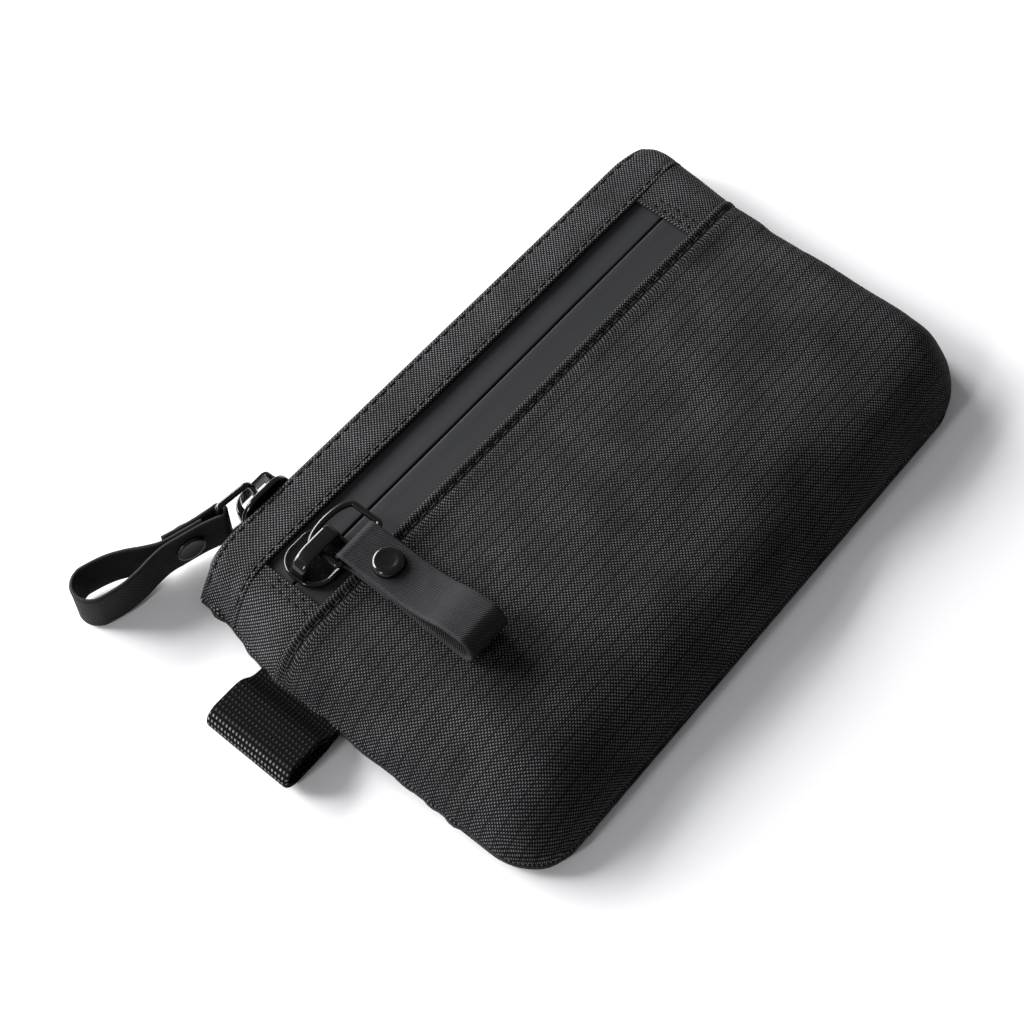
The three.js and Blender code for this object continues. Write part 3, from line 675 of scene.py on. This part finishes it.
outline = seam_line()
outline_run = run_along(outline)
waves_out = crumple(outline_run, 0 * outline_run, 2.6, 8)
waves_up = crumple(outline_run, 0 * outline_run, 4.2, 9)
outward = np.stack([-np.gradient(outline[:, 1]), np.gradient(outline[:, 0])], axis=1)
outward /= np.linalg.norm(outward, axis=1, keepdims=True)
at_bottom = smooth((outline[:, 0] - LEFT_EDGE - 6) / 12) * smooth((RIGHT_EDGE - 4 - outline[:, 0]) / 12)
wavy = outline + outward * (0.3 * waves_out + 0.45 * at_bottom)[:, None]
nub = LEFT_NUB * np.exp(-((outline_run - 4.2) / 1.5) ** 2)
nub = nub + RIGHT_NUB * smooth((outline_run - outline_run[-1] + 8) / 7)
roll_radius = ROLL_RADIUS + 0.16 * crumple(outline_run, 0 * outline_run, 3.1, 10) + nub
roll_height = ROLL_HEIGHT - 0.7 * at_bottom + 0.28 * waves_up + 0.5 * nub
roll_path = np.column_stack([*pulled_in(wavy[:, 0], wavy[:, 1]), roll_height])
points, faces, cloth = tube(roll_path, roll_radius, 14)
add_piece("seam_roll", points, faces, plain_weave, "pouch", ["seam_binding"], cloth)


# Zips: two halves of tape with a smooth matt coating, which meet in a tight slit over the coils.
# The front zip lies under the window; the main zip is the same, stood up along the top edge.
SLIT_HALF = 0.16
TAPE = 0.8
LIP_DROP = 0.28
LIP_WIDTH = 0.3
COATED_DARK = (0.013, 0.0135, 0.0155, 1)
COATED_GREY = (0.0185, 0.019, 0.0215, 1)

coated_finish = Finish("coated_tape", Specular_IOR_Level=0.25)
coated_cloth = coated_finish.attribute("cloth")
coated_grain = coated_finish.speckle(coated_cloth, 3.2, 3.0)
coated_cloud = coated_finish.speckle(coated_cloth, 0.14, 2.0).between(0.3, 0.7)
_, coated_along, _ = coated_finish.parts(coated_cloth)
# The coated face is made a little lighter within about half a millimetre of the slit.
lighter_by_slit = coated_along.between(-0.6, 0.1)
coated_level = coated_cloud * 0.3 + coated_grain * 0.35 + lighter_by_slit * 0.2
coated_finish.set("Base Color", coated_finish.mix(coated_level, COATED_DARK, COATED_GREY))
coated_finish.set("Roughness", 0.66 - coated_cloud * 0.08 + coated_grain * 0.06)
coated_finish.bump(coated_grain, 0.12, 0.00008)


def zip_matrix(label):
    """The zip's own frame in millimetres: the slit along X and the outer face upward."""
    if label == "front":
        low, high = box_of("front_zip_tape_lower")
        slit_y = (high.y + box_of("front_zip_tape_upper")[0].y) / 2
        return Matrix.Translation((0, slit_y, high.z))
    low, high = box_of("main_zip_tape_back")
    slit_z = (high.z + box_of("main_zip_tape_front")[0].z) / 2
    return Matrix.Translation((0, high.y, slit_z)) @ Matrix.Rotation(-math.pi / 2, 4, "X")


def placed(matrix, points):
    turn = np.array(matrix.to_3x3())
    return np.asarray(points) @ turn.T + np.array(matrix.translation)


def add_tape(label, half, side, reach_at):
    """One half of a zip; the coated face bulges a little beside the slit and dips into it."""
    low, high = box_of(f"{label}_zip_tape_{half}")
    xs = steps(low.x, high.x + (3.5 if label == "main" else 0), 110)
    across = np.concatenate([[0, 0.04, 0.12, 0.25, 0.42, 0.65], np.linspace(0.95, 6.5, 14)])
    share = across / across[-1]
    reach = reach_at(xs)[:, None]
    y = SLIT_HALF + (reach - SLIT_HALF) * share[None, :]
    y[:, :6] = SLIT_HALF + across[None, :6]
    lip = LIP_DROP * (1 - np.sqrt(1 - np.clip(1 - (y - SLIT_HALF) / LIP_WIDTH, 0, 1) ** 2))
    bulge = 0.05 * np.exp(-((y - 1.4) / 1.3) ** 2)
    wander = 0.05 * crumple(xs, 0 * xs, 9, 31 + side)[:, None]
    x = xs[:, None] + 0 * y
    upper = np.stack([x, side * (y + wander), bulge - lip], axis=-1)
    lower = np.stack([x, side * (y + wander), -TAPE + 0.6 * lip + 0 * y], axis=-1)
    faces = shell_faces(*x.shape, turned=side < 0)
    cloth = np.stack([x, -(y - SLIT_HALF)], axis=-1).reshape(-1, 2)
    points = placed(zip_matrix(label), np.concatenate([upper.reshape(-1, 3), lower.reshape(-1, 3)]))
    if label == "main":
        points[:, 0], points[:, 1] = pulled_in(points[:, 0], points[:, 1])
    add_piece(f"{label}_zip_tape_{half}_coated", points, faces, coated_finish, "pouch",
              [f"{label}_zip_tape_{half}"], np.concatenate([cloth, cloth]))


front_slit_y = zip_matrix("front").translation.y
main_slit_z = zip_matrix("main").translation.z
main_tape_low = box_of("main_zip_tape_back")[0].z
main_tape_high = box_of("main_zip_tape_front")[1].z


def main_front_reach(x):
    under_band = front_level(x, np.full_like(x, TOP_EDGE)) - FABRIC - 0.5
    return np.maximum(np.minimum(under_band, main_tape_high) - main_slit_z, 0.5)


add_tape("front", "lower", -1, lambda x: np.full_like(x, front_slit_y - PANEL_TOP + 3))
add_tape("front", "upper", 1, lambda x: np.full_like(x, BAND_LOW - front_slit_y + 1.2))
add_tape("main", "front", -1, main_front_reach)
add_tape("main", "back", 1, lambda x: np.full_like(x, main_slit_z - main_tape_low))


# Zip coils: one nylon monofilament for each half, wound into a flattened helix.
# Each is sewn along the inner side of its tape, right beside the slit.
COIL_PITCH = 1.1
FILAMENT = 0.24
NYLON_DARK = (0.006, 0.006, 0.007, 1)
NYLON_LIGHT = (0.02, 0.02, 0.022, 1)

coil_finish = Finish("nylon_coil", Specular_IOR_Level=0.5)
coil_grain = coil_finish.speckle(coil_finish.attribute("cloth"), 1.4)
coil_finish.set("Base Color", coil_finish.mix(coil_grain, NYLON_DARK, NYLON_LIGHT))
coil_finish.set("Roughness", 0.3 + coil_grain * 0.2)
coil_finish.bump(coil_grain, 0.1, 0.00003)


def add_coil(node):
    low, high = box_of(node)
    middle, half = (low + high) / 2, (high - low) / 2
    turns = int((high.x - low.x - 2 * FILAMENT) / COIL_PITCH)
    angle = np.linspace(0, turns * 2 * math.pi, turns * 12 + 1)
    x = np.linspace(low.x + FILAMENT, high.x - FILAMENT, len(angle))
    y = middle.y + (half.y - FILAMENT) * np.cos(angle)
    z = middle.z + (half.z - FILAMENT) * np.sin(angle)
    points, faces, cloth = tube(np.stack([x, y, z], axis=1), FILAMENT, 6)
    add_piece(f"{node}_helix", points, faces, coil_finish, "pouch", [node], cloth)


for coil in ("front_zip_coil_lower", "front_zip_coil_upper", "main_zip_coil_front", "main_zip_coil_back"):
    add_coil(coil)


# Hardware finish: black lacquer on die-cast zinc and steel, a little uneven and rubbed by handling.
# The sliders, rings and rivet caps are glossy; the stops and rivet backs are satin.
LACQUER_BLACK = (0.002, 0.002, 0.0022, 1)
LACQUER_RUBBED = (0.01, 0.01, 0.011, 1)


def lacquer(name, rough, grain_scale):
    finish = Finish(name, Specular_IOR_Level=0.3, Coat_Weight=0.25, Coat_Roughness=0.08)
    where = finish.attribute("cloth")
    haze = finish.speckle(where, grain_scale, 3.0)
    scuffs = finish.speckle(where, grain_scale * 4, 4.0).between(0.55, 0.75)
    finish.set("Base Color", finish.mix(scuffs * 0.6 + haze * 0.2, LACQUER_BLACK, LACQUER_RUBBED))
    finish.set("Roughness", rough + scuffs * 0.12 + haze * 0.05)
    finish.bump(haze, 0.05, 0.00008)
    return finish


gloss_black = lacquer("gloss_black_lacquer", 0.16, 0.5)
satin_black = lacquer("satin_black_lacquer", 0.3, 0.8)


# Zip stops: small pressed metal blocks clamped over each end of the coils.
# They keep their plain shape, with the edges rounded and a satin lacquer.
STOP_EDGE = 0.25

for stop_node in ("front_zip_closed_end_stop", "front_zip_open_end_stop",
                  "main_zip_closed_end_stop", "main_zip_open_end_stop"):
    stop = frame["nodes"][stop_node]
    stop.data.materials.clear()
    stop.data.materials.append(satin_black.material)
    edge_rounding = stop.modifiers.new("rounded_edges", "BEVEL")
    edge_rounding.width = STOP_EDGE * MM
    edge_rounding.segments = 3


# Side loop: 20 mm ribbed black webbing, folded to a loop with both ends sewn into the left seam.
# Its cross ribs are thick, and the slanted yarns get a painted highlight where it folds over.
WEBBING = 0.9
RIB_PITCH = 1.05
YARN_SLANT = 1.6
# The bright webbing colour is a painted highlight for the yarns at the fold.
WEBBING_DARK = (0.0015, 0.0015, 0.0018, 1)
WEBBING_PAINTED_HIGHLIGHT = (0.2, 0.2, 0.205, 1)
loop_low, loop_high = box_of("side_webbing_loop")

webbing_finish = Finish("black_webbing", Specular_IOR_Level=0.06)
webbing_along, webbing_across, _ = webbing_finish.parts(webbing_finish.attribute("cloth"))
slanted = webbing_across * (math.pi / 0.42) + webbing_along * YARN_SLANT
rib = (webbing_along * (2 * math.pi / RIB_PITCH)).cosine()
dash = slanted.cosine()
rib_dashes_and_painted_highlight = rib.between(-0.2, 0.9) * dash.between(-0.35, 0.7)
webbing_grain = webbing_finish.speckle(webbing_finish.attribute("cloth"), 1.3, 1.0).between(0.2, 0.8)
# Painted highlight: the rib dashes are painted bright where the webbing folds over and dimmed further along
# it.
away_from_painted_fold_highlight = abs(webbing_along).between(1.6, 3.6)
webbing_painted_highlight_level = rib_dashes_and_painted_highlight * (webbing_grain * 0.5 + 0.5) * (1 - away_from_painted_fold_highlight * 0.88)
webbing_finish.set("Base Color", webbing_finish.mix(webbing_painted_highlight_level, WEBBING_DARK, WEBBING_PAINTED_HIGHLIGHT))
webbing_finish.set("Roughness", 0.8 - rib_dashes_and_painted_highlight * 0.15)
webbing_finish.bump(rib_dashes_and_painted_highlight, 0.6, 0.00012)


def smooth_path(controls, spacing):
    """A Catmull-Rom curve through the controls, resampled at equal steps."""
    p = np.asarray(controls, float)
    p = np.concatenate([[2 * p[0] - p[1]], p, [2 * p[-1] - p[-2]]])
    found = []
    for a, b, c, d in zip(p[:-3], p[1:-2], p[2:-1], p[3:]):
        t = np.linspace(0, 1, 16, endpoint=False)[:, None]
        second, third = 2 * a - 5 * b + 4 * c - d, 3 * b - a - 3 * c + d
        found.append(0.5 * (2 * b + (c - a) * t + second * t ** 2 + third * t ** 3))
    found = np.concatenate(found + [p[-2:-1]])
    run = run_along(found)
    even = np.linspace(0, run[-1], max(int(run[-1] / spacing), 8))
    return np.stack([np.interp(even, run, found[:, k]) for k in range(2)], axis=1)


def flat_band(path, width, thickness, relief, columns=18):
    """A flat strip that follows a path seen from its side; its width is the third axis."""
    count = len(path)
    ahead = np.gradient(path, axis=0)
    ahead /= np.linalg.norm(ahead, axis=1, keepdims=True)
    normal = np.stack([-ahead[:, 1], ahead[:, 0]], axis=1)
    run = run_along(path)[:, None]
    half, radius = width / 2, thickness / 2
    flat = np.linspace(-half + radius, half - radius, columns)
    turn = np.linspace(-math.pi / 2, math.pi / 2, 7)[1:-1]
    place = [(w, radius) for w in flat]
    place += [(half - radius + radius * math.cos(a), -radius * math.sin(a)) for a in turn]
    place += [(w, -radius) for w in flat[::-1]]
    place += [(-half + radius - radius * math.cos(a), radius * math.sin(a)) for a in turn]
    place = np.array(place)
    around = len(place)
    w, n = place[:, 0][None, :], place[:, 1][None, :]
    n = n + np.sign(n) * relief(run, w) * (np.abs(n) > 0.9 * radius)
    position = path[:, None, :] + normal[:, None, :] * n[:, :, None]
    run, w = np.broadcast_to(run, (count, around)), np.broadcast_to(w, (count, around))
    points = np.concatenate([position, w[:, :, None]], axis=2).reshape(-1, 3)
    cloth = np.stack([run, w], axis=-1).reshape(-1, 2)
    return points, loft_faces(count, around, turned=True), cloth


def webbing_relief(run, w):
    return 0.1 * np.cos(run * 2 * math.pi / RIB_PITCH) * np.cos(w * math.pi / 0.84 + run * YARN_SLANT) ** 2


def arc(middle, radii, start, end, count=9):
    """Points on part of an ellipse, from one angle in degrees to another."""
    angles = np.radians(np.linspace(start, end, count))
    return [(middle[0] + radii[0] * math.cos(a), middle[1] + radii[1] * math.sin(a)) for a in angles]


mid = WEBBING / 2
sewn_level = 1.45
round_z = (loop_low.z + loop_high.z) / 2
round_half = (loop_high.z - loop_low.z) / 2 - mid
round_x = loop_low.x + (loop_high.z - loop_low.z) / 2
webbing_controls = [
    (LEFT_EDGE + 2.6, sewn_level + 3 * mid), (LEFT_EDGE - 0.6, sewn_level + 3 * mid),
    (LEFT_EDGE - 2.6, 3.6), (LEFT_EDGE - 4.6, 5.6), (LEFT_EDGE - 6.6, loop_high.z - mid - 0.05),
    *arc((round_x, round_z), (round_half, round_half), 90, 270),
    (LEFT_EDGE - 5.2, loop_low.z + mid), (LEFT_EDGE - 3.4, loop_low.z + mid + 0.1),
    (LEFT_EDGE - 1.6, 1.3), (LEFT_EDGE + 2.6, sewn_level + mid),
]
webbing_path = smooth_path(webbing_controls, 0.2)
points, faces, cloth = flat_band(webbing_path, loop_high.y - loop_low.y, WEBBING, webbing_relief, columns=72)
cloth = cloth - np.array([cloth[points[:, 0].argmin(), 0], 0])
points = points[:, [0, 2, 1]] + np.array([0, (loop_low.y + loop_high.y) / 2, 0])
add_piece("side_loop_webbing", points, [face[::-1] for face in faces], webbing_finish, "pouch",
          ["side_webbing_loop"], cloth)


# Sliders: a lacquered plate with a raised rim outside the tape, an inner plate, and a thin post
# in the slit. The crown is cast on top: low and round behind, square ahead, with soft edges.
PLATE_LENGTH = 12.5
PLATE_WIDTH = 11
PLATE_THICKNESS = 1.2
PLATE_RADIUS = 4.6
GAP = 0.3
INNER_LENGTH = 11
INNER_WIDTH = 7.2
INNER_RADIUS = 2.4
INNER_PLATE = 1.2
POST_LENGTH = 3.4
POST_WIDTH = 0.2
CROWN_WIDTH = 3.3
CROWN_HEIGHT = 4.65
CROWN_INSIDE = 3.9
CROWN_ROUND = 0.8
SUNK = 0.15


def plate_outline(inset, length, width, radius, count=16):
    a, b = length / 2 - inset, width / 2 - inset
    r = min(max(radius - inset, 0.3), b)
    turn = np.linspace(0, math.pi / 2, count)
    corners = [(a - r, b - r, 0), (-a + r, b - r, 1), (-a + r, -b + r, 2), (a - r, -b + r, 3)]
    return np.array([
        (x + r * math.cos(t + k * math.pi / 2), y + r * math.sin(t + k * math.pi / 2))
        for x, y, k in corners for t in turn
    ])


def stacked(levels, outline_at):
    """A closed solid from outlines at rising (inset, height) levels."""
    loops = [[(x, y, z) for x, y in outline_at(inset)] for inset, z in levels]
    points = np.concatenate(loops)
    return points, loft_faces(len(loops), len(loops[0])), points[:, :2].copy()


def slider_plates():
    foot, top = GAP, GAP + PLATE_THICKNESS
    outer = stacked(
        [(0.35, foot), (0.1, foot + 0.08), (0, foot + 0.3), (0, top - 0.3), (0.08, top - 0.1), (0.28, top),
         (0.55, top), (0.75, top - 0.08), (0.9, top - 0.22), (1.2, top - 0.26), (2.6, top - 0.26)],
        lambda inset: plate_outline(inset, PLATE_LENGTH, PLATE_WIDTH, PLATE_RADIUS),
    )
    inner_top = -TAPE - GAP - INNER_PLATE - 0.4
    inner = stacked(
        [(0.3, inner_top - 1), (0, inner_top - 0.75), (0, inner_top - 0.2), (0.25, inner_top)],
        lambda inset: plate_outline(inset, INNER_LENGTH, INNER_WIDTH, INNER_RADIUS),
    )
    post = stacked(
        [(0, inner_top - 0.4), (0, foot + 0.4)],
        lambda inset: plate_outline(inset, POST_LENGTH, POST_WIDTH, POST_WIDTH / 2, 4),
    )
    return join([outer, inner, post])


def bend(*controls):
    """A Bezier curve through its first and last control."""
    last = len(controls) - 1
    t = np.linspace(0, 1, 14)[:, None]
    weights = [math.comb(last, k) * (1 - t) ** (last - k) * t ** k for k in range(last + 1)]
    return sum(weight * np.array(point) for weight, point in zip(weights, controls))


def crown():
    """A bridge over the ring: a side view with an arch cut out, lofted across with round outer edges."""
    foot = GAP - SUNK
    outer = np.concatenate([
        bend((-5.9, foot), (-5.9, 2.4), (-4.6, CROWN_HEIGHT - 0.5), (-1.6, CROWN_HEIGHT - 0.1)),
        bend((3.2, CROWN_HEIGHT), (4.7, CROWN_HEIGHT), (5.1, CROWN_HEIGHT - 0.9)),
        [(5.3, foot)],
    ])
    inner = np.concatenate([
        [(3.9, foot), (3.9, CROWN_INSIDE - 0.25), (3.7, CROWN_INSIDE), (-2.2, CROWN_INSIDE)],
        bend((-2.4, CROWN_INSIDE), (-4, CROWN_INSIDE - 0.4), (-4.3, foot)),
    ])
    ahead = np.gradient(outer, axis=0)
    ahead /= np.linalg.norm(ahead, axis=1, keepdims=True)
    inward = np.stack([ahead[:, 1], -ahead[:, 0]], axis=1)
    loops = []
    for t in np.linspace(-math.pi / 2, math.pi / 2, 14):
        y = math.copysign(CROWN_WIDTH / 2 - CROWN_ROUND, t) + CROWN_ROUND * math.sin(t)
        shrunk = outer + inward * (CROWN_ROUND * (1 - math.cos(t)) * 0.5)
        loops.append([(x, y, z) for x, z in np.concatenate([shrunk, inner])])
    points = np.concatenate(loops)
    points[:, 2] += GAP + PLATE_THICKNESS - SUNK
    return points, loft_faces(len(loops), len(loops[0]), turned=True), points[:, [0, 2]].copy()


def ring_hinge(label):
    hinge = next(joint for joint in frame["joints"] if joint["name"] == f"{label}_ring_flip")
    return Vector(hinge["pos_m"]) / MM


def slider_matrix(label):
    """A slider's frame: its middle in the slit, its outer side upward, and X along the zip."""
    base = zip_matrix(label)
    base.translation.x = ring_hinge(label).x
    return base


def add_metal(name, node, body, matrix, shape, finish):
    points, faces, cloth = shape
    add_piece(name, placed(matrix, points), faces, finish, body, [node], cloth)


for label in ("front", "main"):
    matrix, body = slider_matrix(label), f"{label}_slider"
    add_metal(f"{label}_slider_plates", f"{label}_slider_body", body, matrix, slider_plates(), gloss_black)
    add_metal(f"{label}_crown", f"{label}_slider_crown", body, matrix, crown(), gloss_black)


# D-rings: 1.3 mm steel wire bent to a D with its ends butted, lacquered black. The ring passes
# under the crown; its straight bar carries the strap.
WIRE_RADIUS = 0.66
RING_HALF_WIDTH = 5.95
RING_CROWN = 3.3
RING_STRAIGHT = 1.1
RING_BAR_OFFSET = 5.5
RING_CORNER = 0.85
MAIN_RING_LEAN = math.radians(5.5)
MAIN_STRAP_LEAN = math.radians(11.5)
FRONT_STRAP_LIFT = math.radians(4.5)
STRAP_LEAVES = 2.5
STRAP_BEND = {"front": (0.03, 0.035), "main": (0.045, 0)}


def ring_path():
    a, low, c = RING_HALF_WIDTH, -RING_BAR_OFFSET, RING_CORNER
    arch = np.linspace(0, math.pi, 60)
    path = [(a * math.cos(t), RING_STRAIGHT + (RING_CROWN - RING_STRAIGHT) * math.sin(t)) for t in arch]
    path += [(-a, y) for y in np.linspace(RING_STRAIGHT, low + c, 14)[1:]]
    corner = np.linspace(0, math.pi / 2, 9)[1:]
    path += [(-a + c - c * math.cos(t), low + c - c * math.sin(t)) for t in corner]
    path += [(x, low) for x in np.linspace(-a + c, a - c, 24)[1:]]
    path += [(a - c + c * math.sin(t), low + c - c * math.cos(t)) for t in corner]
    path += [(a, y) for y in np.linspace(low + c, RING_STRAIGHT, 14)[1:-1]]
    return np.array([(x, y, 0) for x, y in path])


def turning_matrix(label):
    """The frame that turns with the ring, its origin on the hinge under the crown."""
    matrix = slider_matrix(label)
    matrix.translation = ring_hinge(label)
    if label == "main":
        matrix = matrix @ Matrix.Rotation(MAIN_RING_LEAN, 4, "Y")
    return matrix


def ring_matrix(label):
    if label == "front":
        return turning_matrix(label) @ Matrix.Translation((RING_HALF_WIDTH, 0, 0))
    turned = Matrix.Rotation(-math.pi / 2, 4, "Z")
    return turning_matrix(label) @ Matrix.Translation((-RING_CROWN, 0, 0)) @ turned


for label in ("front", "main"):
    wire = tube(ring_path(), WIRE_RADIUS, 20, closed=True)
    add_metal(f"{label}_ring_wire", f"{label}_d_ring", f"{label}_ring", ring_matrix(label), wire, gloss_black)


# Strap pulls: 10 mm twill tape. It wraps the ring's bar, runs through the rivet to an open
# loop and comes back between the layers; the other end is cut square just past the rivet.
STRAP_WIDTH = 10
STRIP = 0.86
LAYER = 0.88
WRAP_RADIUS = 1.43
TWILL_PITCH = 0.44
TAPE_DARK = (0.003, 0.003, 0.0035, 1)
TAPE_CHARCOAL = (0.036, 0.037, 0.04, 1)

strap_finish = Finish("charcoal_tape", Specular_IOR_Level=0.15)
strap_along, strap_across, _ = strap_finish.parts(strap_finish.attribute("cloth"))
twill = ((strap_along + strap_across * 0.7) * (2 * math.pi / TWILL_PITCH)).cosine()
weft = (strap_across * (2 * math.pi / 0.5)).cosine()
twill_level = twill.between(-0.7, 0.9) * (weft * 0.2 + 0.8)
strap_cloud = strap_finish.speckle(strap_finish.attribute("cloth"), 0.35, 2.0).between(0.3, 0.7)
selvedge = abs(strap_across).between(STRAP_WIDTH / 2 - 0.75, STRAP_WIDTH / 2 - 0.35)
strap_level = twill_level * (strap_cloud * 0.2 + 0.6) + selvedge * 0.1
strap_finish.set("Base Color", strap_finish.mix(strap_level, TAPE_DARK, TAPE_CHARCOAL))
strap_finish.set("Roughness", 0.8 - twill_level * 0.12)
strap_finish.bump(twill, 0.4, 0.00008)


def strap_relief(run, w):
    edge = smooth((np.abs(w) - STRAP_WIDTH / 2 + 1.0) / 0.4)
    return 0.05 * edge + 0.02 * crumple(run, w, 2.5, 41)


def strap_matrix(label):
    if label == "front":
        base = turning_matrix(label) @ Matrix.Translation((RING_HALF_WIDTH, -RING_BAR_OFFSET, 0))
        along, thick, lean = Vector((0, -1, 0)), Vector((0, 0, 1)), FRONT_STRAP_LIFT
    else:
        base = turning_matrix(label) @ Matrix.Translation((-RING_CROWN - RING_BAR_OFFSET, 0, 0))
        along, thick, lean = Vector((-1, 0, 0)), Vector((0, 0, 1)), MAIN_STRAP_LEAN
    basis = Matrix((along, thick, along.cross(thick))).transposed().to_4x4()
    return base @ basis @ Matrix.Rotation(lean, 4, "Z")


def wrap(first, last):
    return arc((0, 0), (WRAP_RADIUS, WRAP_RADIUS), first, last, 7)


def hanging(label, points):
    """A strap bends a little past the ring: the front one sideways and down, the main one sideways."""
    past = np.clip(points[:, 0] - STRAP_LEAVES, 0, None)
    sideways, sink = STRAP_BEND[label]
    return points + np.stack([0 * past, -sink * past, sideways * past], axis=1)


main_loop = [
    (11.8, 0.96), (9, LAYER), (5, LAYER), (2.7, 1.05),
    *wrap(62, 298), (2.7, -1.05), (5, -LAYER), (9, -LAYER),
    (12.5, -0.98), (15.6, -1.75), (19, -2.9), (22.8, -3.72),
    *arc((27.2, 0), (3.87, 3.87), -90, 90),
    (22.8, 3.6), (19, 2.55), (15.8, 1.2), (13, 0.22), (11, 0), (8, 0), (3.6, 0),
]
front_loop = [
    (11.8, -0.96), (9, -LAYER), (5, -LAYER), (2.7, -1.05),
    *wrap(298, 62), (2.7, 1.05), (5, LAYER), (9, LAYER),
    (12.5, 0.95), (16, 1.3), (20.4, 2.4), (25, 4.3),
    *arc((29.6, 2.05), (2.9, 2.92), 90, -90),
    (22, -0.87), (17, -0.62), (13.5, -0.15), (11, 0), (8, 0), (3.6, 0),
]

for label, controls in (("front", front_loop), ("main", main_loop)):
    path = smooth_path(controls, 0.35)
    points, faces, cloth = flat_band(path, STRAP_WIDTH, STRIP, strap_relief, columns=16)
    points = placed(strap_matrix(label), hanging(label, points))
    add_piece(f"{label}_strap_tape", points, faces, strap_finish, f"{label}_pull",
              [f"{label}_strap"], cloth)


# Rivets: a spun black cap with a round rim and a slightly dished middle, and a thin back disc,
# closed through the three layers of tape.
RIVET_ALONG = 7.5
NECK_HALF = 1.3
CAP_RADIUS = 3.3
CAP_RIM = 1.05


def spun(profile, sides=56):
    """A solid turned about the rivet's axis from (radius, height) points, bottom to top."""
    angle = np.linspace(0, 2 * math.pi, sides, endpoint=False)
    loops = [np.column_stack([r * np.cos(angle), np.full(sides, h), r * np.sin(angle)]) for r, h in profile]
    points = np.concatenate(loops)
    faces = loft_faces(len(loops), sides, turned=True)
    return points + np.array([RIVET_ALONG, 0, 0]), faces, points[:, [0, 2]].copy()


cap_profile = [
    (3.0, NECK_HALF - 0.2),
    *arc((CAP_RADIUS - CAP_RIM, NECK_HALF + 0.25), (CAP_RIM, 1.2), -11.46, 90, 12),
    (1.95, NECK_HALF + 1.42), (1.7, NECK_HALF + 1.33), (1.2, NECK_HALF + 1.27), (0.5, NECK_HALF + 1.25),
]
back_profile = [
    (0.4, -NECK_HALF - 0.58), (1.9, -NECK_HALF - 0.58), (2.2, -NECK_HALF - 0.66), (2.6, -NECK_HALF - 0.72),
    (2.9, -NECK_HALF - 0.7), (3.1, -NECK_HALF - 0.5), (3.1, -NECK_HALF - 0.1), (2.9, -NECK_HALF + 0.2),
]


def add_rivet_half(label, name, node, profile, finish):
    points, faces, cloth = spun(profile)
    shape = hanging(label, points), faces, cloth
    add_metal(f"{label}_{name}", f"{label}_{node}", f"{label}_pull", strap_matrix(label), shape, finish)


for label in ("front", "main"):
    add_rivet_half(label, "rivet_dome", "rivet_cap", cap_profile, gloss_black)
    add_rivet_half(label, "rivet_disc", "rivet_back", back_profile, satin_black)
